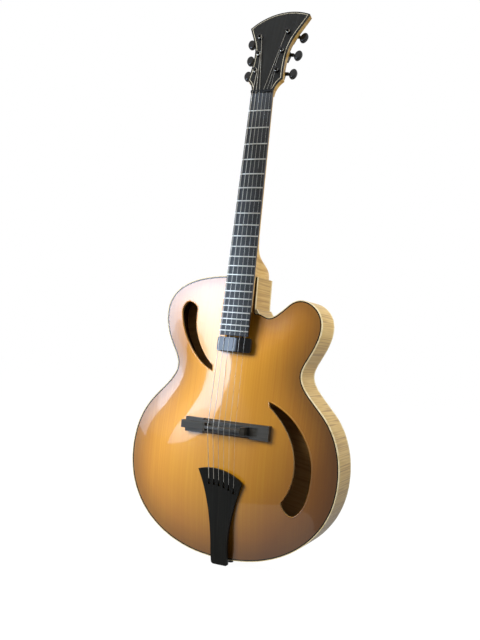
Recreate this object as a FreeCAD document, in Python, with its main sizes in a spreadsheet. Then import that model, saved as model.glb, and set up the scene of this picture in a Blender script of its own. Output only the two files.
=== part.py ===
import FreeCAD, Part
import math
import os
from types import SimpleNamespace

import Sketcher
from FreeCAD import Placement, Rotation, Vector

# Archtop guitar standing upright: X to the treble side, Y to the back, Z up.
# The origin is the seat of the end pin on the tail rib, midway between the two rims.

# Driving dimensions in millimetres and degrees
SIZES = {
    # Body outline
    "body_length": 539.0,
    "body_depth": 76.0,
    "lower_bout": 432.0,
    "lower_bout_rise": 181.0,
    "waist": 259.0,
    "waist_drop": 92.0,
    "upper_bout": 324.0,
    "upper_bout_drop": 87.0,
    "horn_reach": 116.0,
    "horn_drop": 40.0,
    "cutaway_reach": 54.0,
    "cutaway_drop": 76.0,
    "cutaway_corner": 24.0,
    "neck_side": 26.0,
    # Plates, ribs and edge trim
    "top_arch": 22.0,
    "back_arch": 18.0,
    "plate_wall": 5.0,
    "rib_wall": 2.3,
    "lining_width": 6.0,
    "lining_height": 14.0,
    "binding_width": 1.2,
    "purfling_width": 2.4,
    "purfling_depth": 1.6,
    "tone_bar_width": 8.0,
    "tone_bar_height": 9.0,
    "tone_bar_length": 300.0,
    "tone_bar_spread": 74.0,
    "neck_block_width": 62.0,
    "neck_block_length": 46.0,
    "tail_block_width": 84.0,
    "tail_block_length": 18.0,
    # Neck and fingerboard
    "scale_length": 648.0,
    "saddle_setback": 2.8,
    "neck_angle": 4.5,
    "board_rise": 23.9,
    "joint_gap": 0.1,
    "nut_width": 44.45,
    "nut_length": 5.0,
    "nut_height": 2.0,
    "board_end_width": 59.0,
    "board_length": 475.0,
    "board_thickness": 6.5,
    "board_radius": 305.0,
    "neck_depth_nut": 14.5,
    "neck_depth_joint": 18.0,
    "heel_depth": 92.0,
    "extension_length": 68.0,
    "extension_depth": 9.0,
    "extension_inset": 4.0,
    "tenon_width": 30.0,
    "tenon_length": 22.0,
    "rod_diameter": 6.0,
    "rod_length": 380.0,
    "rod_start": 15.0,
    "rod_cover": 0.6,
    "fret_width": 2.3,
    "fret_height": 1.1,
    "tang_width": 0.6,
    "tang_depth": 1.6,
    # Headstock
    "head_angle": 13.0,
    "head_drop": 1.2,
    "head_thickness": 10.0,
    "veneer_thickness": 3.0,
    "ear_reach": 36.5,
    "ear_rise": 31.0,
    "head_waist": 33.3,
    "head_left_corner": 56.5,
    "head_left_rise": 157.0,
    "head_right_corner": 66.0,
    "head_right_rise": 179.5,
    "head_crown": 20.5,
    "line_inset": 3.0,
    "line_width": 0.8,
    "line_depth": 0.6,
    # Tuning machines
    "post_diameter": 6.0,
    "post_reach": 11.5,
    "post_hole": 1.8,
    "bushing_diameter": 9.6,
    "bushing_height": 2.2,
    "bushing_sleeve": 8.0,
    "bushing_depth": 12.0,
    "running_gap": 0.05,
    "housing_width": 17.0,
    "housing_height": 13.5,
    "housing_wall": 1.2,
    "housing_room": 0.4,
    "housing_round": 2.0,
    "gear_pitch_radius": 6.0,
    "gear_addendum": 0.55,
    "gear_dedendum": 0.65,
    "gear_thickness": 2.4,
    "gear_seat": 7.5,
    "mesh_gap": 0.15,
    "worm_core_radius": 1.5,
    "worm_shaft_radius": 1.9,
    "worm_journal_radius": 1.3,
    "worm_thread_depth": 0.75,
    "button_length": 16.0,
    "button_width": 22.0,
    "button_thickness": 9.5,
    "button_round": 3.6,
    "button_distance": 17.2,
    "boss_radius": 3.6,
    "boss_length": 6.5,
    "button_bore_depth": 8.0,
    "screw_diameter": 2.2,
    "screw_head": 4.2,
    "screw_head_height": 1.3,
    "screw_length": 9.0,
    "screw_tab": 1.6,
    # Strings
    "bridge_action": 5.0,
    "nut_action": 1.2,
    "nut_spread": 37.0,
    "bridge_spread": 56.0,
    "tail_spread": 51.0,
    "string_gap": 0.05,
    "groove_gap": 0.15,
    "coil_gap": 0.55,
    # Bridge
    "bridge_length": 172.0,
    "bridge_width": 28.0,
    "bridge_wall_height": 8.0,
    "bridge_floor": 2.5,
    "bridge_scoop": 3.2,
    "channel_width": 15.0,
    "wedge_slope": 0.0667,
    "wedge_end": 6.0,
    "wedge_tip": 64.0,
    "wedge_thin": 1.2,
    "saddle_length": 88.0,
    "saddle_block": 8.0,
    "saddle_blade": 5.0,
    "slide_gap": 0.08,
    # Tailpiece and its bracket
    "tailpiece_wall": 6.0,
    "tailpiece_drop": 9.0,
    "tailpiece_round": 5.0,
    "tailpiece_neck": 34.0,
    "tailpiece_top": 96.0,
    "tailpiece_left_gap": 79.9,
    "tailpiece_right_gap": 96.9,
    "tailpiece_crown": 12.0,
    "tailpiece_flare_rise": 25.0,
    "tailpiece_foot": 13.2,
    "tailpiece_swell": 14.5,
    "tailpiece_swell_run": 45.0,
    "tailpiece_lift": 8.0,
    "slot_setback": 20.0,
    "slot_width": 2.0,
    "slot_length": 10.0,
    "keyhole_diameter": 4.8,
    "ball_diameter": 4.0,
    "bracket_width": 26.0,
    "bracket_wall": 2.0,
    "bracket_rise": 18.0,
    "bracket_reach": 12.0,
    # End pin with its jack socket
    "pin_flange": 18.0,
    "pin_groove": 12.0,
    "pin_head": 15.0,
    "pin_flange_height": 2.0,
    "pin_groove_height": 5.0,
    "pin_head_height": 4.0,
    "pin_barrel": 11.8,
    "socket_bore": 6.5,
    "socket_depth": 30.0,
    # Pickup and volume control
    "pickup_length": 70.0,
    "pickup_width": 28.0,
    "pickup_height": 8.0,
    "pickup_setback": 2.5,
    "pickup_string_gap": 9.5,
    "pickup_round": 5.0,
    "pickup_soft": 1.4,
    "pickup_wall": 2.0,
    "pickup_rod_grip": 6.0,
    "pickup_rod_diameter": 3.0,
    "pickup_rod_spread": 30.0,
    "wheel_diameter": 18.0,
    "wheel_thickness": 4.0,
    "wheel_rise": 165.0,
    "wheel_show": 3.5,
    "wheel_gap": 0.6,
    "pot_diameter": 15.0,
    "pot_height": 6.0,
    "pot_shaft": 3.0,
}

FRET_COUNT = 22
GEAR_TEETH = 16
JOINT_FRET = 14
STRING_DIAMETERS = [0.30, 0.41, 0.61, 0.81, 1.07, 1.32]
COIL_TURNS = [3.25, 3.25, 3.25, 2.25, 2.25, 2.25]

# Shape ratios: rise share and inward share along each sweep of the outline
TAIL_FULLNESS = 2.15
SHOULDER_FULLNESS = 2.6
BOUT_TO_WAIST = [(0.285, 0.081), (0.536, 0.324), (0.765, 0.740), (1.0, 1.0)]
WAIST_TO_UPPER = [(0.337, 0.365), (0.696, 0.841), (1.0, 1.0)]

# Sound holes: wide end, outer edge, narrow tip, inner edge. The bass hole's stations are a share of half
# the upper bout and a drop from the body's upper end; the treble hole's a share of half the lower bout
# and a rise.
BASS_HOLE_OUTER = [(-0.568, 67), (-0.628, 58), (-0.711, 55), (-0.773, 64), (-0.781, 83), (-0.736, 111),
                   (-0.644, 139), (-0.509, 164), (-0.273, 186)]
BASS_HOLE_INNER = [(-0.278, 175), (-0.394, 157), (-0.487, 135), (-0.552, 107), (-0.569, 84), (-0.568, 67)]
TREBLE_HOLE_OUTER = [(0.523, 125), (0.551, 112), (0.620, 102), (0.685, 111), (0.745, 139), (0.769, 172),
                     (0.755, 210), (0.690, 244), (0.569, 277), (0.347, 307)]
TREBLE_HOLE_INNER = [(0.361, 296), (0.486, 268), (0.579, 234), (0.618, 198), (0.611, 167), (0.523, 125)]

# Tuner stations on the headstock: string number, X, rise and outward tilt
TUNERS = [
    (1, 22.0, 49.0, 6.5),
    (2, 24.0, 95.0, 12.5),
    (3, 28.2, 139.5, 18.0),
    (4, -29.6, 131.5, 15.5),
    (5, -24.2, 89.5, 11.5),
    (6, -22.5, 50.0, 6.0),
]

doc = FreeCAD.newDocument("archtop_guitar")
sheet = doc.addObject("Spreadsheet::Sheet", "Sizes")


class Dim:
    """A size from the sheet, carried as its number together with the formula that gives it."""

    def __init__(self, number, text):
        self.number = number
        self.text = text

    def __add__(self, other):
        other = as_dim(other)
        return Dim(self.number + other.number, f"({self.text} + {other.text})")

    def __sub__(self, other):
        other = as_dim(other)
        return Dim(self.number - other.number, f"({self.text} - {other.text})")

    def __mul__(self, other):
        other = as_dim(other)
        return Dim(self.number * other.number, f"({self.text} * {other.text})")

    def __truediv__(self, divisor):
        return Dim(self.number / divisor, f"({self.text} / {divisor})")

    def __neg__(self):
        return Dim(-self.number, f"(0 - {self.text})")


def as_dim(value):
    """Lets a plain number stand beside a size."""
    if isinstance(value, Dim):
        return value
    return Dim(float(value), str(float(value)))


for row, (alias, number) in enumerate(SIZES.items(), start=1):
    sheet.set(f"A{row}", alias)
    sheet.set(f"B{row}", str(number))
    sheet.setAlias(f"B{row}", alias)
doc.recompute()

mm = SimpleNamespace(**{alias: float(sheet.get(alias)) for alias in SIZES})
dim = SimpleNamespace(**{alias: Dim(float(sheet.get(alias)), f"Sizes.{alias}") for alias in SIZES})
pieces = []


def bind(obj, **sizes):
    """Ties properties of an object to sizes of the sheet."""
    for name, value in sizes.items():
        obj.setExpression(name, as_dim(value).text)


def keep(obj, placement=None):
    """Lists an object as a sub-part and puts it in its place."""
    if placement is not None:
        obj.Placement = placement
    pieces.append(obj)
    return obj


def feature(label, shape, placement=None):
    """A sub-part whose shape is worked out here from the sheet's sizes."""
    obj = doc.addObject("Part::Feature", label)
    obj.Label = label
    obj.Shape = shape
    return keep(obj, placement)


def origin_plane(body, role):
    """The named plane of a body's own origin."""
    return next(item for item in body.Origin.OriginFeatures if item.Role == role)


def profile(body, role, corners):
    """A closed polygon sketch whose corners are tied to the sheet."""
    sketch = body.newObject("Sketcher::SketchObject", f"{body.Name}_profile")
    sketch.AttachmentSupport = (origin_plane(body, role), [""])
    sketch.MapMode = "FlatFace"
    corners = [(as_dim(across), as_dim(up)) for across, up in corners]
    spots = [Vector(across.number, up.number, 0) for across, up in corners]
    for index, spot in enumerate(spots):
        sketch.addGeometry(Part.LineSegment(spot, spots[(index + 1) % len(spots)]), False)
    for index, (across, up) in enumerate(corners):
        before = (index - 1) % len(spots)
        sketch.addConstraint(Sketcher.Constraint("Coincident", before, 2, index, 1))
        for kind, value in (("DistanceX", across), ("DistanceY", up)):
            number = sketch.addConstraint(Sketcher.Constraint(kind, -1, 1, index, 1, value.number))
            sketch.setExpression(f"Constraints[{number}]", value.text)
    return sketch


def lathe(label, corners, role="XZ_Plane"):
    """A turned piece: the profile's second axis is the axis it turns on."""
    body = doc.addObject("PartDesign::Body", label)
    sketch = profile(body, role, corners)
    turned = body.newObject("PartDesign::Revolution", f"{label}_turned")
    turned.Profile = sketch
    turned.ReferenceAxis = (sketch, ["V_Axis"])
    turned.Angle = 360.0
    return body


def padded(label, corners, length, role="XZ_Plane"):
    """A piece of one section, padded evenly to both sides of its plane."""
    body = doc.addObject("PartDesign::Body", label)
    sketch = profile(body, role, corners)
    pad = body.newObject("PartDesign::Pad", f"{label}_pad")
    pad.Profile = sketch
    pad.Midplane = True
    bind(pad, Length=length)
    return body


# Curves, wires and prisms


def polyline(points):
    """Straight edges through points."""
    return [Part.LineSegment(a, b).toShape() for a, b in zip(points, points[1:])]


def spline(points, start=None, end=None):
    """A smooth curve through points, with end directions where they matter."""
    curve = Part.BSplineCurve()
    if start is None:
        curve.interpolate(Points=points)
    else:
        curve.interpolate(Points=points, InitialTangent=start, FinalTangent=end)
    return curve


def flat(points):
    """X, Z stations as points of the front plane."""
    return [Vector(x, 0, z) for x, z in points]


def prism(wire, low, high):
    """The region inside a wire of the front plane, from one depth to another."""
    face = Part.Face(wire)
    face.translate(Vector(0, low, 0))
    return face.extrude(Vector(0, high - low, 0))


def box_between(low, high):
    """A block between two corners."""
    return Part.makeBox(high.x - low.x, high.y - low.y, high.z - low.z, low)


# Body outline, in formulas of the bouts


def sweep_quarter(width, rise, fullness, steps):
    """A quarter of a full oval from its pole (0, 0) to its side (width, rise)."""
    points = []
    for step in range(1, steps + 1):
        turn = math.pi / 2 * step / steps
        across = width * math.sin(turn) ** (2 / fullness)
        up = rise * (1 - max(math.cos(turn), 0.0) ** (2 / fullness))
        points.append((across, up))
    return points


half_lower = mm.lower_bout / 2
half_waist = mm.waist / 2
half_upper = mm.upper_bout / 2
upper_bout_rise = mm.body_length - mm.upper_bout_drop
waist_rise = upper_bout_rise - mm.waist_drop
horn_rise = mm.body_length - mm.horn_drop
cutaway_rise = mm.body_length - mm.cutaway_drop
shared_side = sweep_quarter(half_lower, mm.lower_bout_rise, TAIL_FULLNESS, 6)
for share, inward in BOUT_TO_WAIST:
    shared_side.append((half_lower - inward * (half_lower - half_waist),
                        mm.lower_bout_rise + share * (waist_rise - mm.lower_bout_rise)))
for share, outward in WAIST_TO_UPPER:
    shared_side.append((half_waist + outward * (half_upper - half_waist),
                        waist_rise + share * (upper_bout_rise - waist_rise)))

shoulder = [(across, mm.body_length - up) for across, up in
            sweep_quarter(half_upper, mm.body_length - upper_bout_rise, SHOULDER_FULLNESS, 6)]
horn = [(mm.horn_reach + across, horn_rise - up) for across, up in
        sweep_quarter(half_upper - mm.horn_reach, horn_rise - upper_bout_rise, 2.0, 4)]
HOLLOW_STEPS = 6
hollow = []
for step in range(1, HOLLOW_STEPS + 1):
    share = step / HOLLOW_STEPS
    hollow.append((mm.horn_reach - share * (mm.horn_reach - mm.cutaway_reach),
                   horn_rise - (horn_rise - cutaway_rise) * (1 - math.cos(math.pi * share)) / 2))
corner = [(mm.cutaway_reach - across, cutaway_rise + up) for across, up in
          sweep_quarter(mm.cutaway_reach - mm.neck_side, mm.cutaway_corner, 2.0, 4)]

stations = [(0.0, mm.body_length)]
stations += [(-x, z) for x, z in shoulder]
stations += [(-x, z) for x, z in reversed(shared_side[:-1])]
stations += [(0.0, 0.0)]
stations += shared_side
stations += list(reversed(horn[:-1])) + [(mm.horn_reach, horn_rise)]
stations += hollow
stations += corner
outline_curve = spline(flat(stations), Vector(-1, 0, 0), Vector(0, 0, 1))
corner_end = cutaway_rise + mm.cutaway_corner
INSET_SAMPLES = 80


def outline_wire(inset):
    """The body's outline, moved inwards by an even distance."""
    side = mm.neck_side - inset
    top = mm.body_length - inset
    first, last = outline_curve.FirstParameter, outline_curve.LastParameter
    points = []
    for index in range(INSET_SAMPLES + 1):
        at = first + (last - first) * index / INSET_SAMPLES
        spot = outline_curve.value(at)
        along = outline_curve.tangent(at)[0]
        points.append(spot + Vector(-along.z, 0, along.x) * inset)
    points[0] = Vector(0, 0, top)
    points[-1] = Vector(side, 0, corner_end)
    curve = outline_curve if inset == 0 else spline(points, Vector(-1, 0, 0), Vector(0, 0, 1))
    straight = polyline([Vector(side, 0, corner_end), Vector(side, 0, top), Vector(0, 0, top)])
    return Part.Wire([curve.toShape()] + straight)


def band(outer, inner, low, high):
    """The region between two wires of the front plane, from one depth to another."""
    face = Part.makeFace([outer, inner], "Part::FaceMakerBullseye")
    face.translate(Vector(0, low, 0))
    return face.extrude(Vector(0, high - low, 0))


def ring(outer_inset, inner_inset, low, high):
    """A band along the outline between two insets."""
    return band(outline_wire(outer_inset), outline_wire(inner_inset), low, high)


# Arching: a soft distance from the edge gives the height of both plates

EDGE_SAMPLES = 700
edge_points = outline_curve.toShape().discretize(EDGE_SAMPLES)
straight_steps = 30
edge_points += [Vector(mm.neck_side, 0, corner_end + (mm.body_length - corner_end) * (k + 1) / straight_steps)
                for k in range(straight_steps)]
edge_points += [Vector(mm.neck_side * (1 - (k + 1) / straight_steps), 0, mm.body_length)
                for k in range(straight_steps)]
edge_steps = [(a.x, a.z, (b - a).Length) for a, b in zip(edge_points, edge_points[1:])]


def inside_outline(x, z):
    """Whether a point of the front plane lies inside the body."""
    within = False
    for a, b in zip(edge_points, edge_points[1:]):
        if (a.z > z) != (b.z > z) and x < a.x + (z - a.z) * (b.x - a.x) / (b.z - a.z):
            within = not within
    return within


def soft_distance(x, z):
    """About the distance to the edge near it, levelling off towards the middle."""
    total = 0.0
    for at_x, at_z, length in edge_steps:
        total += length / max((x - at_x) ** 2 + (z - at_z) ** 2, 1.0) ** 1.5
    return math.sqrt(2 / total)


soft_peak = soft_distance(0, mm.lower_bout_rise)


def arch_share(x, z):
    """Height of the arch from 0 at the rim to 1 at the crown."""
    if not inside_outline(x, z):
        return 0.0
    share = min(1.0, soft_distance(x, z) / soft_peak)
    return (1 - math.cos(math.pi * share)) / 2


front_rim = -mm.body_depth / 2
back_rim = mm.body_depth / 2
GRID_STEP = 17.0
GRID_MARGIN = 12.0
across_count = int((mm.lower_bout + 2 * GRID_MARGIN) / GRID_STEP)
up_count = int((mm.body_length + 2 * GRID_MARGIN) / GRID_STEP)
grid_x = [-half_lower - GRID_MARGIN + (mm.lower_bout + 2 * GRID_MARGIN) * i / across_count
          for i in range(across_count + 1)]
grid_z = [-GRID_MARGIN + (mm.body_length + 2 * GRID_MARGIN) * j / up_count for j in range(up_count + 1)]
shares = [[arch_share(x, z) for z in grid_z] for x in grid_x]


def arch_face(rim, height):
    """An arched face over the whole outline, standing off its rim plane."""
    surface = Part.BSplineSurface()
    surface.interpolate([[Vector(x, rim + height * share, z) for z, share in zip(grid_z, column)]
                         for x, column in zip(grid_x, shares)])
    return surface.toShape()


def top_depth(x, z):
    """Depth of the top's outer face at a place."""
    return front_rim - mm.top_arch * arch_share(x, z)


top_face = arch_face(front_rim, -mm.top_arch)
back_face = arch_face(back_rim, mm.back_arch)
reach = mm.body_depth * 2
front_edge_low = front_rim + mm.plate_wall
back_edge_low = back_rim - mm.plate_wall


def moved(shape, x=0.0, y=0.0, z=0.0):
    """A copy of a shape at another place."""
    copy = shape.copy()
    copy.translate(Vector(x, y, z))
    return copy


below_top = moved(top_face, y=mm.plate_wall).extrude(Vector(0, mm.body_depth * 0.9, 0))
above_back = moved(back_face, y=-mm.plate_wall).extrude(Vector(0, -mm.body_depth * 0.9, 0))


def bass_hole(stations):
    """Stations of the bass sound hole as points of the front plane."""
    return flat([(share * half_upper, mm.body_length - drop) for share, drop in stations])


def treble_hole(stations):
    """Stations of the treble sound hole as points of the front plane."""
    return flat([(share * half_lower, rise) for share, rise in stations])


def hole_wire(outer, inner):
    """A crescent between two smooth edges, with a square-cut tip."""
    tip = polyline([outer[-1], inner[0]])
    return Part.Wire([spline(outer).toShape()] + tip + [spline(inner).toShape()])


def halves(shape):
    """A plate as its two halves, which meet at the centre joint."""
    bass_side = box_between(Vector(-reach * 4, -reach, -reach), Vector(0, reach, reach * 5))
    return Part.makeCompound([shape.common(bass_side), shape.cut(bass_side)])


def make_top():
    """The carved top with its sound holes, and the black line let into its edge."""
    blank = top_face.extrude(Vector(0, mm.plate_wall, 0)).common(
        prism(outline_wire(mm.binding_width), -reach, reach))
    line_end = mm.binding_width + mm.purfling_width
    groove = ring(mm.binding_width, line_end, -reach, front_rim + mm.purfling_depth)
    holes = (hole_wire(bass_hole(BASS_HOLE_OUTER), bass_hole(BASS_HOLE_INNER)),
             hole_wire(treble_hole(TREBLE_HOLE_OUTER), treble_hole(TREBLE_HOLE_INNER)))
    for hole in holes:
        blank = blank.cut(prism(hole, -reach, reach))
    feature("top_plate", halves(blank.cut(groove)))
    feature("top_purfling", ring(mm.binding_width, line_end, front_rim, front_rim + mm.purfling_depth))


def make_back():
    """The carved back."""
    plate = back_face.extrude(Vector(0, -mm.plate_wall, 0))
    feature("back_plate", halves(plate.common(prism(outline_wire(mm.binding_width), -reach, reach))))


def pin_hole():
    """The end pin's hole through rib, block and bracket."""
    return Part.makeCylinder(mm.pin_barrel / 2, reach, Vector(0, 0, -reach / 2))


def make_rim():
    """Ribs, edge bindings and linings."""
    hoop = ring(0, mm.rib_wall, front_edge_low, back_edge_low).cut(pin_hole()).cut(tenon_shape())
    half = box_between(Vector(-reach * 4, -reach, -reach), Vector(0, reach, reach * 5))
    lower = box_between(Vector(-reach * 4, -reach, -reach), Vector(reach * 4, reach, waist_rise))
    hollow_side = box_between(Vector(0, -reach, waist_rise), Vector(mm.horn_reach, reach, reach * 5))
    bass, treble = hoop.common(half), hoop.cut(half)
    feature("bass_lower_rib", bass.common(lower))
    feature("bass_upper_rib", bass.cut(lower))
    feature("treble_lower_rib", treble.common(lower))
    feature("treble_upper_rib", treble.cut(lower).cut(hollow_side))
    feature("cutaway_rib", treble.common(hollow_side))
    edges = (("top_binding", front_rim, front_edge_low), ("back_binding", back_edge_low, back_rim))
    for label, low, high in edges:
        feature(label, halves(ring(0, mm.binding_width, low, high)))
    inner = mm.rib_wall + mm.lining_width
    top_lining = ring(mm.rib_wall, inner, front_rim - mm.lining_height, front_edge_low + mm.lining_height)
    back_lining = ring(mm.rib_wall, inner, back_edge_low - mm.lining_height, back_rim + mm.lining_height)
    block_low = mm.body_length - mm.neck_block_length
    blocks = box_between(Vector(-mm.neck_block_width + mm.neck_side, -reach, block_low),
                         Vector(mm.neck_side, reach, mm.body_length + 1))
    blocks = blocks.fuse(box_between(Vector(-mm.tail_block_width / 2, -reach, -1),
                                     Vector(mm.tail_block_width / 2, reach, mm.tail_block_length)))
    feature("top_lining", top_lining.common(below_top).cut(blocks))
    feature("back_lining", back_lining.common(above_back).cut(blocks))


def make_inner_wood():
    """Neck block with its mortise, tail block and tone bars."""
    inside = prism(outline_wire(mm.rib_wall), -reach, reach).common(below_top).common(above_back)
    block = box_between(
        Vector(-mm.neck_block_width + mm.neck_side, -reach, mm.body_length - mm.neck_block_length),
        Vector(mm.neck_side, reach, mm.body_length))
    feature("neck_block", inside.common(block).cut(tenon_shape()))
    block = box_between(Vector(-mm.tail_block_width / 2, -reach, 0),
                        Vector(mm.tail_block_width / 2, reach, mm.tail_block_length))
    feature("tail_block", inside.common(block).cut(pin_hole()))
    low = (mm.body_length - mm.neck_block_length + mm.tail_block_length - mm.tone_bar_length) / 2
    bars = []
    for side in (-1, 1):
        middle = side * mm.tone_bar_spread / 2
        span = box_between(Vector(middle - mm.tone_bar_width / 2, -reach, low),
                           Vector(middle + mm.tone_bar_width / 2, reach, low + mm.tone_bar_length))
        bars.append(moved(top_face, y=mm.plate_wall).extrude(Vector(0, mm.tone_bar_height, 0)).common(span))
    feature("tone_bars", Part.makeCompound(bars))


# Neck frame: origin at the nut on the board's face, Z up the neck


def fret_distance(number):
    """Distance from the nut to a fret."""
    return mm.scale_length * (1 - 2 ** (-number / 12))


lean = math.radians(mm.neck_angle)
joint_distance = fret_distance(JOINT_FRET)
nut_spot = Vector(0, front_rim - mm.board_rise + joint_distance * math.sin(lean),
                  mm.body_length + mm.joint_gap + joint_distance * math.cos(lean))
neck_frame = Placement(nut_spot, Rotation(Vector(1, 0, 0), -mm.neck_angle))
head_frame = neck_frame.multiply(Placement(Vector(0, mm.head_drop, 0),
                                           Rotation(Vector(1, 0, 0), -mm.head_angle)))


def placed(shape, frame):
    """A copy of a shape carried into a frame."""
    copy = shape.copy()
    copy.Placement = frame.multiply(copy.Placement)
    return copy


def board_half_width(distance):
    """Half the board's width at a distance from the nut."""
    return (mm.nut_width + (mm.board_end_width - mm.nut_width) * distance / mm.board_length) / 2


SECTION_STEPS = 10


def neck_section(rise, half_width, depth, fullness):
    """A closed U section of the neck below the board, at a height along the neck."""
    points = []
    for step in range(SECTION_STEPS + 1):
        turn = math.pi * step / SECTION_STEPS
        across = math.copysign(abs(math.cos(turn)) ** (2 / fullness), math.cos(turn)) * half_width
        points.append(Vector(across, mm.board_thickness + depth * math.sin(turn) ** (2 / fullness), rise))
    curve = spline(points).toShape()
    return Part.Wire([curve] + polyline([points[-1], points[0]]))


# Height above the body, share of the heel's full depth and width, and squareness of the section
HEEL_SWEEP = [(84.0, 0.0, 2.2), (74.0, 0.008, 2.2), (64.0, 0.03, 2.3), (55.0, 0.075, 2.4), (47.0, 0.16, 2.7),
              (41.0, 0.28, 3.1), (36.0, 0.45, 3.6), (31.5, 0.64, 4.2), (27.0, 0.80, 4.8), (22.0, 0.91, 5.3),
              (16.0, 0.965, 5.6), (8.0, 0.99, 5.8), (-3.0, 1.0, 5.8), (-14.0, 1.0, 5.8)]
HEEL_DEGREE = 3


def neck_shaft():
    """The neck's round back, deepening into the heel, in the neck frame."""
    at_nut = neck_section(0.0, board_half_width(0), mm.neck_depth_nut, 2.2)
    collar = [neck_section(24.0, mm.nut_width / 2 - 3, 6.0, 2.2),
              neck_section(10.0, mm.nut_width / 2 - 1, mm.neck_depth_nut - 2.0, 2.2), at_nut]
    heel = []
    for height, share, fullness in HEEL_SWEEP:
        distance = joint_distance - height
        depth = mm.neck_depth_joint + (mm.heel_depth - mm.neck_depth_joint) * share
        under_board = board_half_width(min(distance, joint_distance))
        half_width = under_board + (mm.neck_side - under_board) * share
        heel.append(neck_section(-distance, half_width, depth, fullness))
    shaft = Part.makeLoft([at_nut, heel[0]], True, True)
    ends = [Part.makeLoft(collar, True, False), Part.makeLoft(heel, True, False, False, HEEL_DEGREE)]
    return shaft.fuse(ends)


def tenon_shape():
    """The neck's tenon, standing down into the neck block."""
    seam = mm.body_length
    return box_between(Vector(-mm.tenon_width / 2, front_rim + mm.plate_wall + 6, seam - mm.tenon_length),
                       Vector(mm.tenon_width / 2, back_rim - mm.plate_wall - 6, seam))


def head_outline():
    """The headstock's face: ears above the nut, drawn-in sides, a crowned slanting top."""
    nut_half = mm.nut_width / 2
    flare = [(0.17, 0.01), (0.32, 0.07), (0.46, 0.19), (0.62, 0.40)]

    def side(sign, corner_x, corner_z):
        swell = corner_x - mm.head_waist
        narrow_rise = 0.46 * mm.head_left_rise
        ear_fall = mm.head_waist + 0.25 * (mm.ear_reach - mm.head_waist)
        curve = [Vector(sign * mm.ear_reach, 0, mm.ear_rise),
                 Vector(sign * ear_fall, 0, 0.33 * mm.head_left_rise),
                 Vector(sign * mm.head_waist, 0, narrow_rise)]
        for rise_share, swell_share in flare:
            curve.append(Vector(sign * (mm.head_waist + swell_share * swell), 0,
                                narrow_rise + rise_share * (corner_z - narrow_rise)))
        curve.append(Vector(sign * corner_x, 0, corner_z))
        neck_curve = [Vector(sign * nut_half, 0, -mm.nut_length / 2),
                      Vector(sign * (nut_half + 1.2), 0, 0.32 * mm.ear_rise),
                      Vector(sign * (nut_half + 0.42 * (mm.ear_reach - nut_half)), 0, 0.70 * mm.ear_rise),
                      Vector(sign * mm.ear_reach, 0, mm.ear_rise)]
        return spline(neck_curve).toShape(), spline(curve).toShape(), curve[-1], neck_curve[0]

    left_neck, left_side, left_corner, left_nut = side(-1, mm.head_left_corner, mm.head_left_rise)
    right_neck, right_side, right_corner, right_nut = side(1, mm.head_right_corner, mm.head_right_rise)
    chord = right_corner - left_corner
    crest = (left_corner + right_corner) / 2 + Vector(-chord.z, 0, chord.x).normalize() * mm.head_crown
    crown = Part.Arc(left_corner, crest, right_corner).toShape()
    return Part.Wire([right_neck, right_side, crown, left_side, left_neck] + polyline([left_nut, right_nut]))


def tuner_frame(x, rise, tilt):
    """A tuner's frame: origin on the headstock's face at the post, X along the worm shaft."""
    turn = tilt if x > 0 else -tilt
    return head_frame.multiply(Placement(Vector(x, 0, rise), Rotation(Vector(0, 1, 0), turn)))


def nut_space():
    """All that lies below the nut's upper end and in front of the board's back, in the body frame."""
    space = box_between(Vector(-reach, -reach, -reach * 5), Vector(reach, mm.board_thickness, mm.nut_length))
    return placed(space, neck_frame)


def make_neck():
    """Neck with heel, tenon and headstock in one piece of maple, and the rod inside it."""
    head = placed(prism(head_outline(), mm.veneer_thickness, head_back), head_frame).cut(nut_space())
    head_middle = head_back - mm.head_thickness / 2
    over_face = box_between(Vector(-reach, -reach, -reach), Vector(reach, head_middle, reach))
    shaft = placed(neck_shaft(), neck_frame)
    collar = box_between(Vector(-reach, -reach, mm.nut_length), Vector(reach, reach, reach))
    collar = placed(collar, neck_frame)
    shaft = shaft.cut(placed(over_face, head_frame).common(collar))
    shaft = shaft.cut(box_between(Vector(-reach, -reach, -reach), Vector(reach, reach, mm.body_length)))
    half = mm.board_end_width / 2 - mm.extension_inset
    strip = box_between(Vector(-half, mm.board_thickness, -joint_distance - mm.extension_length),
                        Vector(half, mm.board_thickness + mm.extension_depth, -joint_distance))
    wood = shaft.fuse(head).fuse(tenon_shape()).fuse(placed(strip, neck_frame))
    for hole in (placed(rod_shape(), neck_frame), placed(pickup_rods(), neck_frame), tuner_holes()):
        wood = wood.cut(hole)
    feature("neck", wood)
    rod = keep(doc.addObject("Part::Cylinder", "truss_rod"),
               neck_frame.multiply(Placement(rod_start, Rotation(Vector(1, 0, 0), 180))))
    bind(rod, Radius=dim.rod_diameter / 2, Height=dim.rod_length)


rod_start = Vector(0, mm.board_thickness + mm.rod_cover + mm.rod_diameter / 2, -mm.rod_start)


def rod_shape():
    """The truss rod's channel, in the neck frame."""
    return Part.makeCylinder(mm.rod_diameter / 2, mm.rod_length, rod_start, Vector(0, 0, -1))


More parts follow.
